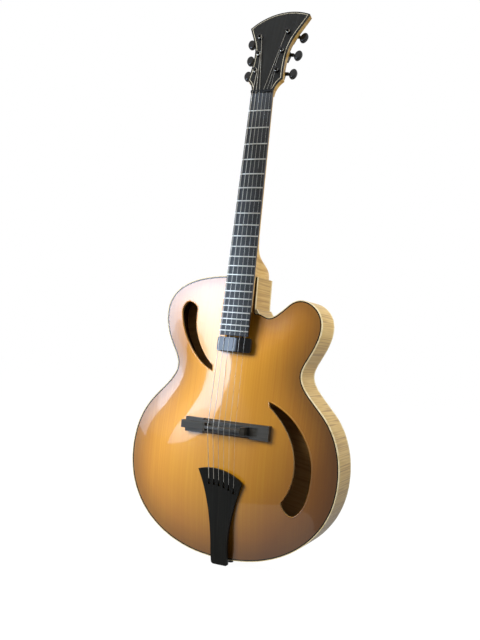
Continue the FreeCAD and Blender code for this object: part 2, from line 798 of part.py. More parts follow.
def make_board():
    """Fingerboard, fret wires let into it, and the nut."""
    end = board_half_width(mm.board_length)
    start = board_half_width(0)
    corners = flat([(-start, 0), (start, 0), (end, -mm.board_length), (-end, -mm.board_length), (-start, 0)])
    blank = prism(Part.makePolygon(corners), 0, mm.board_thickness)
    crown = Part.makeCylinder(mm.board_radius, mm.board_length * 2,
                              Vector(0, mm.board_radius, -mm.board_length * 1.5))
    wires = [fret_wire(number) for number in range(1, FRET_COUNT + 1)]
    feature("fingerboard", blank.common(crown).cut(wires), neck_frame)
    feature("frets", Part.makeCompound(wires), neck_frame)
    half = mm.nut_width / 2
    block = box_between(Vector(-half, -mm.nut_height, 0), Vector(half, mm.board_thickness, mm.nut_length))
    slots = []
    for number in range(1, len(STRING_DIAMETERS) + 1):
        spot = nut_point(number)
        ways = [saddle_point(number) - spot, string_turns(number)[0] - spot]
        slots += [placed(room, neck_frame.inverse()) for room in string_room(number, spot, ways)]
    feature("nut", block.cut(slots), neck_frame)


def fret_wire(number):
    """One fret: a low crown on a tang, bent to the board's crown, in the neck frame."""
    half = mm.fret_width / 2
    tang = mm.tang_width / 2
    bead = Part.Arc(Vector(0, 0, -half), Vector(0, -mm.fret_height, 0), Vector(0, 0, half)).toShape()
    foot = polyline([Vector(0, 0, half), Vector(0, 0, tang), Vector(0, mm.tang_depth, tang),
                     Vector(0, mm.tang_depth, -tang), Vector(0, 0, -tang), Vector(0, 0, -half)])
    section = Part.Face(Part.Wire([bead] + foot))
    distance = fret_distance(number)
    spread = math.degrees(math.asin(board_half_width(distance) / mm.board_radius))
    axis = Vector(0, mm.board_radius, 0)
    section.rotate(axis, Vector(0, 0, 1), -spread)
    wire = section.revolve(axis, Vector(0, 0, 1), 2 * spread)
    wire.translate(Vector(0, 0, -distance))
    return wire


def inset_wire(edge, inset):
    """The outline moved inwards, each of its runs traced again as a smooth curve."""
    runs = edge.makeOffset2D(-inset, join=2).Edges
    return Part.Wire(Part.__sortEdges__([spline(run.discretize(14)).toShape() for run in runs]))


def make_head_face():
    """The headstock's dark veneer and the pale line let into it."""
    edge = head_outline()
    outer = inset_wire(edge, mm.line_inset)
    inner = inset_wire(edge, mm.line_inset + mm.line_width)
    line = band(outer, inner, 0, mm.line_depth)
    groove = band(outer, inner, -1, mm.line_depth)
    clear = placed(nut_space(), head_frame.inverse())
    veneer = prism(edge, 0, mm.veneer_thickness).cut(groove)
    veneer = veneer.cut([clear, placed(tuner_holes(), head_frame.inverse())])
    feature("head_veneer", veneer, head_frame)
    feature("head_line", line.cut(clear), head_frame)


# Tuning machines, each in its own frame on the headstock

head_back = mm.veneer_thickness + mm.head_thickness
gear_tip = mm.gear_pitch_radius + mm.gear_addendum
gear_depth = head_back + mm.gear_seat
worm_outer = mm.worm_core_radius + mm.worm_thread_depth
worm_rise = gear_tip + mm.worm_core_radius + mm.mesh_gap
worm_pitch = 2 * math.pi * mm.gear_pitch_radius / GEAR_TEETH
housing_low = -gear_tip - mm.housing_room - mm.housing_wall
housing_high = worm_rise + worm_outer + mm.housing_room + mm.housing_wall
facing = Rotation(Vector(1, 0, 0), 90)


def turned(corners):
    """A turned shape from radius and height corners, about Z."""
    points = [Vector(radius, 0, height) for radius, height in corners]
    return Part.Face(Part.makePolygon(points + points[:1])).revolve(Vector(), Vector(0, 0, 1), 360)


def tuner_holes():
    """Holes for bushings and screws through the headstock, in the body frame."""
    tools = []
    for _, x, rise, tilt in TUNERS:
        frame = tuner_frame(x, rise, tilt)
        sleeve = Part.makeCylinder(mm.bushing_sleeve / 2, head_back * 3, Vector(0, -head_back, 0),
                                   Vector(0, 1, 0))
        pilot = Part.makeCylinder(mm.screw_diameter / 2, mm.screw_length, screw_seat, Vector(0, -1, 0))
        tools += [placed(sleeve, frame), placed(pilot, frame)]
    return Part.makeCompound(tools)


screw_seat = Vector(0, head_back + mm.screw_tab, housing_low - mm.screw_head / 2)


def gear_shape():
    """The worm wheel's rim, with one tooth towards the worm."""
    root = mm.gear_pitch_radius - mm.gear_dedendum
    points = []
    for tooth in range(GEAR_TEETH):
        middle = math.pi / 2 + 2 * math.pi * tooth / GEAR_TEETH
        for radius, half in ((root, -worm_pitch * 0.24), (gear_tip, -worm_pitch * 0.13),
                             (gear_tip, worm_pitch * 0.13), (root, worm_pitch * 0.24)):
            turn = middle + half / radius
            points.append(Vector(radius * math.cos(turn), radius * math.sin(turn), 0))
    wheel = Part.Face(Part.makePolygon(points + points[:1])).extrude(Vector(0, 0, mm.gear_thickness))
    return moved(wheel, z=-gear_depth - mm.gear_thickness / 2)


def post_shape():
    """A string post with its wheel, pointing forwards along Z from the headstock's face."""
    radius = mm.post_diameter / 2
    low = -gear_depth - mm.gear_thickness / 2
    bevel = radius * 0.2
    post = turned([(0, low), (radius, low), (radius, mm.post_reach - bevel), (radius - bevel, mm.post_reach),
                   (0, mm.post_reach)])
    cross_start = Vector(0, -mm.post_diameter, mm.post_reach - mm.post_hole * 1.4)
    cross = Part.makeCylinder(mm.post_hole / 2, mm.post_diameter * 2, cross_start, Vector(0, 1, 0))
    return post.cut(cross).fuse(gear_shape()).removeSplitter()


def worm_shape():
    """A worm on its shaft, along Z away from the post, with the thread's gap towards +X."""
    span = mm.housing_width / 2 - mm.housing_wall
    core_end = span - mm.housing_room
    shaft_end = mm.button_distance + mm.button_bore_depth
    shaft = turned([(0, -span - mm.housing_wall), (mm.worm_journal_radius, -span - mm.housing_wall),
                    (mm.worm_journal_radius, -core_end), (mm.worm_core_radius, -core_end),
                    (mm.worm_core_radius, core_end), (mm.worm_shaft_radius, core_end),
                    (mm.worm_shaft_radius, shaft_end), (0, shaft_end)])
    turns = 3
    helix = Part.makeHelix(worm_pitch, worm_pitch * turns, mm.worm_core_radius)
    root, tip = worm_pitch * 0.19, worm_pitch * 0.09
    sunk = mm.worm_core_radius * 0.9
    ridge = Part.makePolygon([Vector(sunk, 0, -root), Vector(worm_outer, 0, -tip), Vector(worm_outer, 0, tip),
                              Vector(sunk, 0, root), Vector(sunk, 0, -root)])
    thread = Part.Wire(helix.Edges).makePipeShell([ridge], True, True)
    return shaft.fuse(moved(thread, z=-worm_pitch * turns / 2))


def button_shape():
    """An oval button with rounded edges, along Z from its inner end."""
    oval = Part.Ellipse(Vector(0, 0, 0), mm.button_width / 2, mm.button_length / 2)
    slab = Part.Face(Part.Wire(oval.toShape())).extrude(Vector(0, 0, mm.button_thickness))
    slab = slab.makeFillet(min(mm.button_round, mm.button_thickness * 0.45), slab.Edges)
    slab.translate(Vector(0, 0, -mm.button_thickness / 2))
    slab.rotate(Vector(), Vector(1, 0, 0), 90)
    slab.translate(Vector(0, 0, mm.button_length / 2))
    bore = Part.makeCylinder(mm.worm_shaft_radius, mm.button_bore_depth)
    return slab.cut(bore)


def housing_shape(side):
    """A housing over wheel and worm, open to the headstock, in the tuner's frame."""
    half = mm.housing_width / 2
    shell = box_between(Vector(-half, head_back, housing_low),
                        Vector(half, head_back + mm.housing_height, housing_high))
    outer_edges = [edge for edge in shell.Edges if edge.BoundBox.YMax > head_back + mm.housing_wall]
    shell = shell.makeFillet(mm.housing_round, outer_edges)
    tab_radius = mm.screw_head * 0.75
    tab = Part.makeCylinder(tab_radius, mm.screw_tab, screw_seat - Vector(0, mm.screw_tab, 0),
                            Vector(0, 1, 0))
    bridge = box_between(Vector(-tab_radius, head_back, screw_seat.z),
                         Vector(tab_radius, head_back + mm.screw_tab, housing_low + mm.housing_wall / 2))
    axis = Vector(side, 0, 0)
    boss = Part.makeCylinder(mm.boss_radius, half + mm.boss_length, Vector(0, gear_depth, worm_rise), axis)
    shell = shell.fuse([tab, bridge, boss])
    floor = gear_depth + worm_outer + mm.housing_room
    wheel_room = Part.makeCylinder(gear_tip + mm.housing_room, floor - head_back, Vector(0, head_back, 0),
                                   Vector(0, 1, 0))
    inner = half - mm.housing_wall
    worm_room = box_between(Vector(-inner, head_back, 0),
                            Vector(inner, floor, worm_rise + worm_outer + mm.housing_room))
    start = Vector(0, gear_depth, worm_rise)
    shaft_bore = Part.makeCylinder(mm.worm_shaft_radius + mm.running_gap, mm.housing_width + mm.boss_length,
                                   start, axis)
    journal_bore = Part.makeCylinder(mm.worm_journal_radius + mm.running_gap, mm.housing_width, start, -axis)
    screw_hole = Part.makeCylinder(mm.screw_diameter / 2, reach, screw_seat + Vector(0, reach / 2, 0),
                                   Vector(0, -1, 0))
    return shell.cut([wheel_room, worm_room, shaft_bore, journal_bore, screw_hole])


def make_tuners():
    """Posts, worms and buttons one by one; bushings, housings and screws as groups."""
    post, worm, button = post_shape(), worm_shape(), button_shape()
    sleeve = mm.bushing_sleeve / 2
    bore = mm.post_diameter / 2 + mm.running_gap
    flange = mm.bushing_diameter / 2
    bushing = turned([(bore, -mm.bushing_depth), (sleeve, -mm.bushing_depth), (sleeve, 0), (flange, 0),
                      (flange, mm.bushing_height), (bore, mm.bushing_height)])
    shank, head = mm.screw_diameter / 2, mm.screw_head / 2
    screw = turned([(0, -mm.screw_length), (shank, -mm.screw_length), (shank, 0), (head, 0),
                    (head, mm.screw_head_height), (0, mm.screw_head_height)])
    bushings, housings, screws = [], [], []
    for number, x, rise, tilt in TUNERS:
        side = 1 if x > 0 else -1
        frame = tuner_frame(x, rise, tilt)
        forward = frame.multiply(Placement(Vector(), facing))
        outward = Rotation(Vector(0, 0, 1), 0 if side > 0 else 180).multiply(Rotation(Vector(0, 1, 0), 90))
        shaft_frame = frame.multiply(Placement(Vector(0, gear_depth, worm_rise), outward))
        feature(f"tuner_post_{number}", post, forward)
        feature(f"tuner_worm_{number}", worm, shaft_frame)
        feature(f"tuner_button_{number}", button,
                shaft_frame.multiply(Placement(Vector(0, 0, mm.button_distance), Rotation())))
        bushings.append(placed(bushing, forward))
        housings.append(placed(housing_shape(side), frame))
        back = Placement(screw_seat, Rotation(Vector(1, 0, 0), -90))
        screws.append(placed(screw, frame.multiply(back)))
    feature("tuner_bushings", Part.makeCompound(bushings))
    feature("tuner_housings", Part.makeCompound(housings))
    feature("tuner_screws", Part.makeCompound(screws))


# Strings: ball end, tailpiece, saddle, nut and the turns on the post in one unbroken tube


def string_share(number):
    """Where a string lies across the set, from -0.5 on the bass side to 0.5 on the treble side."""
    return (3.5 - number) / 5


def over_board(x, action, distance, radius):
    """The middle of a string that lies over the crowned board, in the body frame."""
    return neck_frame.multVec(Vector(x, x * x / (2 * mm.board_radius) - action - radius, -distance))


def nut_point(number):
    """Where a string leaves the nut."""
    return over_board(string_share(number) * mm.nut_spread, mm.nut_action, -mm.nut_length / 2,
                      STRING_DIAMETERS[number - 1] / 2)


saddle_distance = mm.scale_length + mm.saddle_setback


def saddle_point(number):
    """Where a string crosses the saddle."""
    return over_board(string_share(number) * mm.bridge_spread, mm.bridge_action + mm.string_gap,
                      saddle_distance, STRING_DIAMETERS[number - 1] / 2)


def string_room(number, spot, ways):
    """Clear room round a string where it bends at a spot and leaves it in given ways."""
    radius = STRING_DIAMETERS[number - 1] / 2 + mm.groove_gap
    return [Part.makeCylinder(radius, way.Length / 4, spot - way * (radius / way.Length), way)
            for way in ways]


def arc_edge(start, apex, end):
    """The arc from start to end whose end directions meet at the apex, or a line if they are in line."""
    middle = (start + end) / 2
    lift = (apex - middle).Length
    half_chord = (end - start).Length / 2
    if lift < 1e-6 * half_chord:
        return Part.LineSegment(start, end).toShape()
    turn = math.atan2(lift, half_chord)
    return Part.Arc(start, middle + (apex - middle) * (math.tan(turn / 2) / math.tan(turn)), end).toShape()


def biarc(start, start_way, end, end_way):
    """Two arcs that join two points in given directions."""
    chord = end - start
    ways = start_way + end_way
    spread = 2 * (1 - start_way.dot(end_way))
    along = chord.dot(ways)
    if spread < 1e-9:
        leg = chord.dot(chord) / (2 * along)
    else:
        leg = (math.sqrt(along * along + spread * chord.dot(chord)) - along) / spread
    first, second = start + start_way * leg, end - end_way * leg
    middle = (first + second) / 2
    return [arc_edge(start, first, middle), arc_edge(middle, second, end)]


def rounded_path(points, radii):
    """Straight runs through points with a tangent arc at each inner point."""
    edges = []
    at = points[0]
    for before, spot, after, radius in zip(points, points[1:], points[2:], radii):
        come = (spot - before).normalize()
        leave = (after - spot).normalize()
        setback = radius * math.tan(come.getAngle(leave) / 2)
        edges.append(Part.LineSegment(at, spot - come * setback).toShape())
        edges.append(arc_edge(spot - come * setback, spot, spot + leave * setback))
        at = spot + leave * setback
    edges.append(Part.LineSegment(at, points[-1]).toShape())
    return edges


QUARTERS = 4
LEAD_IN = 5.0
BEND_RADIUS = 6.0


def string_turns(number):
    """The turns round a post: their start, its angle, and a function for a point and direction on them."""
    _, x, rise, _ = TUNERS[number - 1]
    diameter = STRING_DIAMETERS[number - 1]
    radius = diameter / 2
    side = 1 if x < 0 else -1
    coil_radius = mm.post_diameter / 2 + mm.running_gap + radius
    pitch = diameter + mm.coil_gap
    lowest = mm.bushing_height + mm.coil_gap + radius
    seat = head_frame.inverse().multVec(nut_point(number))
    across, up = side * (seat.x - x), seat.z - rise
    reach_out = math.hypot(across, up)
    tangent_run = math.sqrt(reach_out ** 2 - coil_radius ** 2)
    start_turn = math.atan2(up, across) + math.atan2(tangent_run, coil_radius)

    def on_coil(turn):
        """A point of the turns and the way they run there, in the body frame."""
        height = lowest + pitch * (turn - start_turn) / (2 * math.pi)
        out, along = coil_radius * math.cos(turn), coil_radius * math.sin(turn)
        spot = Vector(x + side * out, -height, rise + along)
        way = Vector(-side * along, -pitch / (2 * math.pi), out)
        return head_frame.multVec(spot), head_frame.Rotation.multVec(way).normalize()

    return on_coil(start_turn)[0], start_turn, on_coil


def make_string(number):
    """One string with its ball end and its turns round the post."""
    diameter = STRING_DIAMETERS[number - 1]
    radius = diameter / 2
    coil_start, start_turn, on_coil = string_turns(number)
    coil_way = on_coil(start_turn)[1]
    nut = nut_point(number)
    lead = (coil_start - nut).normalize()
    before_coil = coil_start - lead * LEAD_IN
    slot = slot_point(number)
    ball = ball_point(number)
    path = rounded_path([ball, slot, saddle_point(number), nut, before_coil],
                        [BEND_RADIUS * 0.4, BEND_RADIUS, BEND_RADIUS])
    path += biarc(before_coil, lead, coil_start, coil_way)
    steps = int(COIL_TURNS[number - 1] * QUARTERS)
    turns = [start_turn + 2 * math.pi * step / QUARTERS for step in range(steps + 1)]
    for turn, after in zip(turns, turns[1:]):
        path += biarc(*on_coil(turn), *on_coil(after))
    first_way = (slot - ball).normalize()
    section = Part.Wire(Part.Circle(ball, first_way, radius).toShape())
    route = Part.Wire(path)
    tube = route.makePipeShell([section], True, False)
    length = sum(edge.Length for edge in path)
    finer = [on_coil(start_turn + 2 * math.pi * step / 48)[0] for step in range(steps * 12 + 1)]
    gap = min((a - b).Length for i, a in enumerate(finer) for b in finer[i + 24:]) - diameter
    ratio = tube.Volume / (math.pi * radius ** 2 * length)
    print(f"string {number}: length {length:.1f}, volume ratio {ratio:.4f}, gap between turns {gap:.2f}")
    feature(f"string_{number}", tube.fuse(Part.makeSphere(mm.ball_diameter / 2, ball)))


# Bridge: base fitted to the arch, height wedge in its channel, saddle on the wedge

crest = neck_frame.multVec(Vector(0, -mm.bridge_action, -saddle_distance))
bridge_seat = top_depth(0, crest.z)
channel_floor = bridge_seat - mm.bridge_floor
bridge_frame = Placement(Vector(0, channel_floor, crest.z), Rotation())


def wedge_top(x):
    """Depth of the wedge's sloping face, forwards of the channel's floor."""
    return mm.wedge_thin + mm.wedge_slope * (mm.wedge_tip - x)


def make_bridge():
    """Base, wedge and saddle."""
    half, wide = mm.bridge_length / 2, mm.bridge_width / 2
    blank = box_between(Vector(-half, bridge_seat - mm.bridge_wall_height, crest.z - wide),
                        Vector(half, front_rim, crest.z + wide))
    channel = box_between(Vector(-half * 2, -reach, crest.z - mm.channel_width / 2),
                          Vector(mm.wedge_tip + mm.slide_gap, channel_floor, crest.z + mm.channel_width / 2))
    cove_radius = mm.bridge_wall_height
    coves = []
    for side in (-1, 1):
        middle = crest.z + side * (wide + cove_radius - mm.bridge_scoop)
        start = Vector(-mm.saddle_length * 0.55, bridge_seat - mm.bridge_wall_height, middle)
        coves.append(Part.makeCylinder(cove_radius, mm.saddle_length * 1.1, start, Vector(1, 0, 0)))
    feature("bridge_base", blank.cut(top_face.extrude(Vector(0, reach, 0))).cut([channel] + coves))

    end = dim.bridge_length / 2 + dim.wedge_end
    thick = dim.wedge_thin + dim.wedge_slope * (dim.wedge_tip + end)
    corners = [(-end, 0), (dim.wedge_tip, 0), (dim.wedge_tip, -dim.wedge_thin), (-end, -thick)]
    wedge = padded("bridge_wedge", corners, dim.channel_width - dim.slide_gap * 2, "XY_Plane")
    keep(wedge, bridge_frame)

    reach_x = mm.saddle_length / 2
    blade_x = reach_x - mm.saddle_block
    crown = crest.y - channel_floor

    def foot(x):
        return Vector(x, -wedge_top(x) - mm.slide_gap, 0)

    def top(x, drop=0.0):
        return Vector(x, crown + x * x / (2 * mm.board_radius) + drop, 0)

    blade = Part.Wire([Part.Arc(top(-blade_x), top(0), top(blade_x)).toShape()]
                      + polyline([top(blade_x), foot(blade_x), foot(-blade_x), top(-blade_x)]))
    step = mm.saddle_block * 0.4
    ramp = mm.saddle_block * 1.2
    left = Part.makePolygon([foot(-reach_x), top(-reach_x, ramp), top(-blade_x, step * 0.3), foot(-blade_x),
                             foot(-reach_x)])
    right = Part.makePolygon([foot(blade_x), top(blade_x, step * 0.3), top(reach_x, step), foot(reach_x),
                              foot(blade_x)])
    width = mm.channel_width - 2 * mm.slide_gap
    solids = []
    for outline, thickness in ((blade, mm.saddle_blade), (left, width), (right, width)):
        face = Part.Face(outline)
        face.translate(Vector(0, 0, -thickness / 2))
        solids.append(face.extrude(Vector(0, 0, thickness)))
    notches = []
    for number in range(1, len(STRING_DIAMETERS) + 1):
        spot = saddle_point(number)
        ways = [slot_point(number) - spot, nut_point(number) - spot]
        notches += [placed(room, bridge_frame.inverse()) for room in string_room(number, spot, ways)]
    saddle = solids[0].fuse(solids[1:]).removeSplitter()
    for notch in notches:
        saddle = saddle.cut(notch)
    feature("bridge_saddle", saddle, bridge_frame)


# Tailpiece: a bowed blade that widens towards the strings, on a bracket held by the end pin

tail_left_rise = crest.z - mm.tailpiece_left_gap
tail_right_rise = crest.z - mm.tailpiece_right_gap
tail_corner_left = Vector(-mm.tailpiece_top / 2, 0, tail_left_rise)
FLARE_POWER = 1.85
LIFT_POWER = 5


def tail_half_width(rise):
    """Half the tailpiece's width at a height."""
    share = max(0.0, rise - mm.tailpiece_flare_rise) / (tail_left_rise - mm.tailpiece_flare_rise)
    return mm.tailpiece_neck / 2 + (mm.tailpiece_top - mm.tailpiece_neck) / 2 * share ** FLARE_POWER


tail_corner_right = Vector(tail_half_width(tail_right_rise), 0, tail_right_rise)


def tail_front(rise):
    """Depth of the tailpiece's front face at a height."""
    swell = mm.tailpiece_swell * (1 - math.exp(-rise / mm.tailpiece_swell_run))
    lift = mm.tailpiece_lift * (rise / tail_left_rise) ** LIFT_POWER
    return front_rim - mm.tailpiece_foot - swell - lift


def tail_edge(x):
    """Height of the tailpiece's crowned upper edge."""
    middle = (tail_corner_left + tail_corner_right) / 2
    half = (tail_corner_right.x - tail_corner_left.x) / 2
    share = (x - middle.x) / half
    slant = (tail_corner_right.z - tail_corner_left.z) / 2
    return middle.z + slant * share + mm.tailpiece_crown * (1 - share * share)


def slot_point(number):
    """Where a string bends into its slot in the tailpiece."""
    x = string_share(number) * mm.tail_spread
    rise = tail_edge(x) - mm.slot_setback
    return Vector(x, tail_front(rise) - STRING_DIAMETERS[number - 1] / 2 - mm.string_gap, rise)


def ball_point(number):
    """The middle of a string's ball end, in its recess behind the slot."""
    slot = slot_point(number)
    rise = slot.z - mm.slot_length * 0.4
    recess = tail_front(rise) + mm.tailpiece_wall / 2
    return Vector(slot.x, recess + mm.ball_diameter / 2 + 2 * mm.string_gap, rise)


def tail_outline():
    """The tailpiece seen from the front."""
    half, low, bend = mm.tailpiece_neck / 2, -mm.tailpiece_drop, mm.tailpiece_round
    slack = bend * (1 - math.sqrt(0.5))

    def flank(sign, top):
        rises = [mm.tailpiece_flare_rise + (top - mm.tailpiece_flare_rise) * k / 5 for k in range(6)]
        return [Vector(sign * tail_half_width(rise), 0, rise) for rise in rises]

    right = flank(1, tail_right_rise)
    left = flank(-1, tail_left_rise)
    edges = polyline([Vector(-half + bend, 0, low), Vector(half - bend, 0, low)])
    edges.append(Part.Arc(Vector(half - bend, 0, low), Vector(half - slack, 0, low + slack),
                          Vector(half, 0, low + bend)).toShape())
    edges += polyline([Vector(half, 0, low + bend), right[0]])
    edges.append(spline(right).toShape())
    middle = (tail_corner_left.x + tail_corner_right.x) / 2
    edges.append(Part.Arc(right[-1], Vector(middle, 0, tail_edge(middle)), left[-1]).toShape())
    edges.append(spline(left).toShape())
    edges += polyline([left[0], Vector(-half, 0, low + bend)])
    edges.append(Part.Arc(Vector(-half, 0, low + bend), Vector(-half + slack, 0, low + slack),
                          Vector(-half + bend, 0, low)).toShape())
    return Part.Wire(Part.__sortEdges__(edges))


def make_tailpiece():
    """The tailpiece with its string slots, and the bracket that holds it to the tail."""
    top = max(tail_left_rise, tail_right_rise) + mm.tailpiece_crown
    rises = [-mm.tailpiece_drop + (top + mm.tailpiece_drop) * k / 12 for k in range(13)]
    front = [Vector(0, tail_front(rise), rise) for rise in rises]
    back = [spot + Vector(0, mm.tailpiece_wall, 0) for spot in front]
    side = Part.Wire([spline(front).toShape()] + polyline([front[-1], back[-1]]) + [spline(back).toShape()]
                     + polyline([back[0], front[0]]))
    blade = Part.Face(side)
    blade.translate(Vector(-mm.tailpiece_top, 0, 0))
    blade = blade.extrude(Vector(mm.tailpiece_top * 2, 0, 0)).common(prism(tail_outline(), -reach, reach))
    cuts = []
    for number in range(1, len(STRING_DIAMETERS) + 1):
        spot = slot_point(number)
        half = mm.slot_width / 2
        low = spot.z - mm.slot_length
        cuts.append(box_between(Vector(spot.x - half, -reach, low),
                                Vector(spot.x + half, 0, spot.z + mm.slot_width)))
        groove = STRING_DIAMETERS[number - 1] / 2 + 2 * mm.string_gap
        cuts.append(Part.makeCylinder(groove, mm.slot_setback * 2, spot, saddle_point(number) - spot))
        cuts.append(Part.makeCylinder(mm.keyhole_diameter / 2, reach, Vector(spot.x, -reach, low),
                                      Vector(0, 1, 0)))
        room = mm.ball_diameter / 2 + 2 * mm.string_gap
        recess = ball_point(number) - Vector(0, room, 0)
        cuts.append(Part.makeCylinder(room, reach, recess, Vector(0, 1, 0)))
    wall, rise = dim.bracket_wall, dim.bracket_rise
    face = dim.body_depth / 2 + dim.tailpiece_foot - dim.tailpiece_wall
    cuts.append(box_between(Vector(-mm.bracket_width / 2, -face.number, -reach),
                            Vector(mm.bracket_width / 2, 0, mm.bracket_rise)))
    feature("tailpiece", blade.cut(cuts))

    bracket = padded("tail_bracket", [(-face, -wall), (dim.bracket_reach, -wall), (dim.bracket_reach, 0),
                                      (-face + wall, 0), (-face + wall, rise), (-face, rise)],
                     dim.bracket_width, "YZ_Plane")
    hole = doc.addObject("Part::Cylinder", "bracket_hole")
    bind(hole, Radius=dim.pin_barrel / 2, Height=dim.bracket_wall * 4)
    hole.Placement = Placement(Vector(0, 0, -mm.bracket_wall * 2), Rotation())
    cut = doc.addObject("Part::Cut", "tail_bracket_drilled")
    cut.Base = bracket
    cut.Tool = hole
    bracket.Label = "tail_bracket_blank"
    cut.Label = "tail_bracket"
    keep(cut)


def make_end_pin():
    """The end pin: a strap button whose barrel is also the jack socket."""
    seat = -dim.bracket_wall
    flange = seat - dim.pin_flange_height
    groove = flange - dim.pin_groove_height
    head = groove - dim.pin_head_height
    barrel, bore = dim.pin_barrel / 2, dim.socket_bore / 2
    closed = head + dim.socket_depth
    end = closed + dim.pin_flange_height
    pin = lathe("end_pin_jack", [(0, closed), (bore, closed), (bore, head), (dim.pin_head / 2, head),
                                 (dim.pin_head / 2, groove), (dim.pin_groove / 2, groove),
                                 (dim.pin_groove / 2, flange), (dim.pin_flange / 2, flange),
                                 (dim.pin_flange / 2, seat), (barrel, seat), (barrel, end), (0, end)])
    keep(pin)


# Pickup and volume control

pickup_high = -mm.board_length - mm.pickup_setback
pickup_share = (mm.board_length + mm.pickup_setback + mm.pickup_width / 2) / mm.scale_length
pickup_front = mm.pickup_string_gap - mm.nut_action - (mm.bridge_action - mm.nut_action) * pickup_share
pickup_corner = Vector(-mm.pickup_length / 2, pickup_front, pickup_high - mm.pickup_width)


def pickup_rods():
    """Two rods from the neck's extension to the pickup, in the neck frame."""
    high = -joint_distance - mm.extension_length + mm.pickup_rod_grip
    low = pickup_high - mm.pickup_rod_grip
    depth = pickup_front + mm.pickup_height / 2
    rods = []
    for side in (-1, 1):
        rods.append(Part.makeCylinder(mm.pickup_rod_diameter / 2, high - low,
                                      Vector(side * mm.pickup_rod_spread / 2, depth, low)))
    return Part.makeCompound(rods)


def make_pickup():
    """Pickup cover, the coil inside it and the rods that carry it."""
    wall = dim.pickup_wall
    axis = Placement(Vector(mm.pickup_length / 2, mm.board_radius, 0), Rotation())

    def crowned(name, block, radius):
        """A block with its front rounded to a radius about the fingerboard's axis."""
        crown = doc.addObject("Part::Cylinder", f"{name}_crown")
        bind(crown, Radius=radius, Height=dim.pickup_width)
        crown.Placement = axis
        under = doc.addObject("Part::Common", f"{name}_crowned")
        under.Base = block
        under.Tool = crown
        doc.recompute()
        return under

    box = doc.addObject("Part::Box", "pickup_block")
    bind(box, Length=dim.pickup_length, Width=dim.pickup_height, Height=dim.pickup_width)
    block = crowned("pickup_block", box, dim.board_radius)
    rounded = doc.addObject("Part::Fillet", "pickup_rounded")
    rounded.Base = block
    upright = [index + 1 for index, edge in enumerate(block.Shape.Edges)
               if abs(edge.tangentAt(edge.FirstParameter).y) > 0.9]
    rounded.Edges = [(index, mm.pickup_round, mm.pickup_round) for index in upright]
    doc.recompute()
    softened = doc.addObject("Part::Fillet", "pickup_softened")
    softened.Base = rounded
    front = [index + 1 for index, edge in enumerate(rounded.Shape.Edges)
             if edge.BoundBox.YMax < mm.pickup_height / 2]
    softened.Edges = [(index, mm.pickup_soft, mm.pickup_soft) for index in front]
    room = doc.addObject("Part::Box", "pickup_room")
    bind(room, Length=dim.pickup_length - wall * 2, Width=dim.pickup_height - wall * 2,
         Height=dim.pickup_width - wall * 2)
    inset = Vector(mm.pickup_wall, mm.pickup_wall, mm.pickup_wall)
    room.Placement = Placement(inset, Rotation())
    coil_room = crowned("pickup_room", room, dim.board_radius - wall)
    hollow_cover = doc.addObject("Part::Cut", "pickup_hollow")
    hollow_cover.Base = softened
    hollow_cover.Tool = coil_room
    doc.recompute()
    rods = moved(pickup_rods(), -pickup_corner.x, -pickup_corner.y, -pickup_corner.z)
    frame = neck_frame.multiply(Placement(pickup_corner, Rotation()))
    feature("pickup_cover", hollow_cover.Shape.cut(rods), frame)
    feature("pickup_coil", coil_room.Shape.cut(rods), frame)
    feature("pickup_rods", pickup_rods(), neck_frame)


def make_volume():
    """The thumb wheel that shows at the sound hole's edge, on its pot under the top."""
    edge = spline(treble_hole(TREBLE_HOLE_OUTER)).toShape().discretize(400)
    rim = max(spot.x for spot in edge if abs(spot.z - mm.wheel_rise) < 2 * mm.wheel_show)
    radius = mm.wheel_diameter / 2
    middle = rim + radius - mm.wheel_show
    front = top_depth(middle + radius, mm.wheel_rise) + mm.plate_wall + mm.wheel_gap
    back = front + mm.wheel_thickness
    shaft = mm.pot_shaft / 2
    teeth = 28
    points = []
    for step in range(teeth * 2):
        turn = math.pi * step / teeth
        reach_out = radius - (mm.wheel_gap * 0.7 if step % 2 else 0.0)
        points.append(Vector(reach_out * math.cos(turn), 0, reach_out * math.sin(turn)))
    wheel = Part.Face(Part.makePolygon(points + points[:1])).extrude(Vector(0, mm.wheel_thickness, 0))
    wheel = wheel.cut(Part.makeCylinder(shaft + mm.running_gap, mm.wheel_thickness * 3,
                                        Vector(0, -mm.wheel_thickness, 0), Vector(0, 1, 0)))
    place = Placement(Vector(middle, front, mm.wheel_rise), Rotation())
    feature("volume_wheel", wheel, place)
    pot_front = back + mm.wheel_gap / 2
    can = Part.makeCylinder(mm.pot_diameter / 2, mm.pot_height, Vector(middle, pot_front, mm.wheel_rise),
                            Vector(0, 1, 0))
    spindle = Part.makeCylinder(shaft, mm.wheel_thickness + mm.wheel_gap,
                                Vector(middle, front, mm.wheel_rise), Vector(0, 1, 0))
    foot = middle + radius + mm.wheel_gap
    arm_half = mm.pot_diameter / 3
    arm = box_between(Vector(middle, pot_front, mm.wheel_rise - arm_half),
                      Vector(foot + mm.wheel_thickness, pot_front + mm.pot_height, mm.wheel_rise + arm_half))
    leg = box_between(Vector(foot, -reach, mm.wheel_rise - arm_half),
                      Vector(foot + mm.wheel_thickness, back + mm.pot_height / 2, mm.wheel_rise + arm_half))
    feature("volume_pot", can.fuse([spindle, arm, leg.common(below_top)]).removeSplitter())


make_top()
make_back()
make_rim()
make_inner_wood()
make_neck()
make_board()
make_head_face()
make_tuners()
for number in range(1, len(STRING_DIAMETERS) + 1):
    make_string(number)
make_bridge()
make_tailpiece()
make_end_pin()
make_pickup()
make_volume()
doc.recompute()

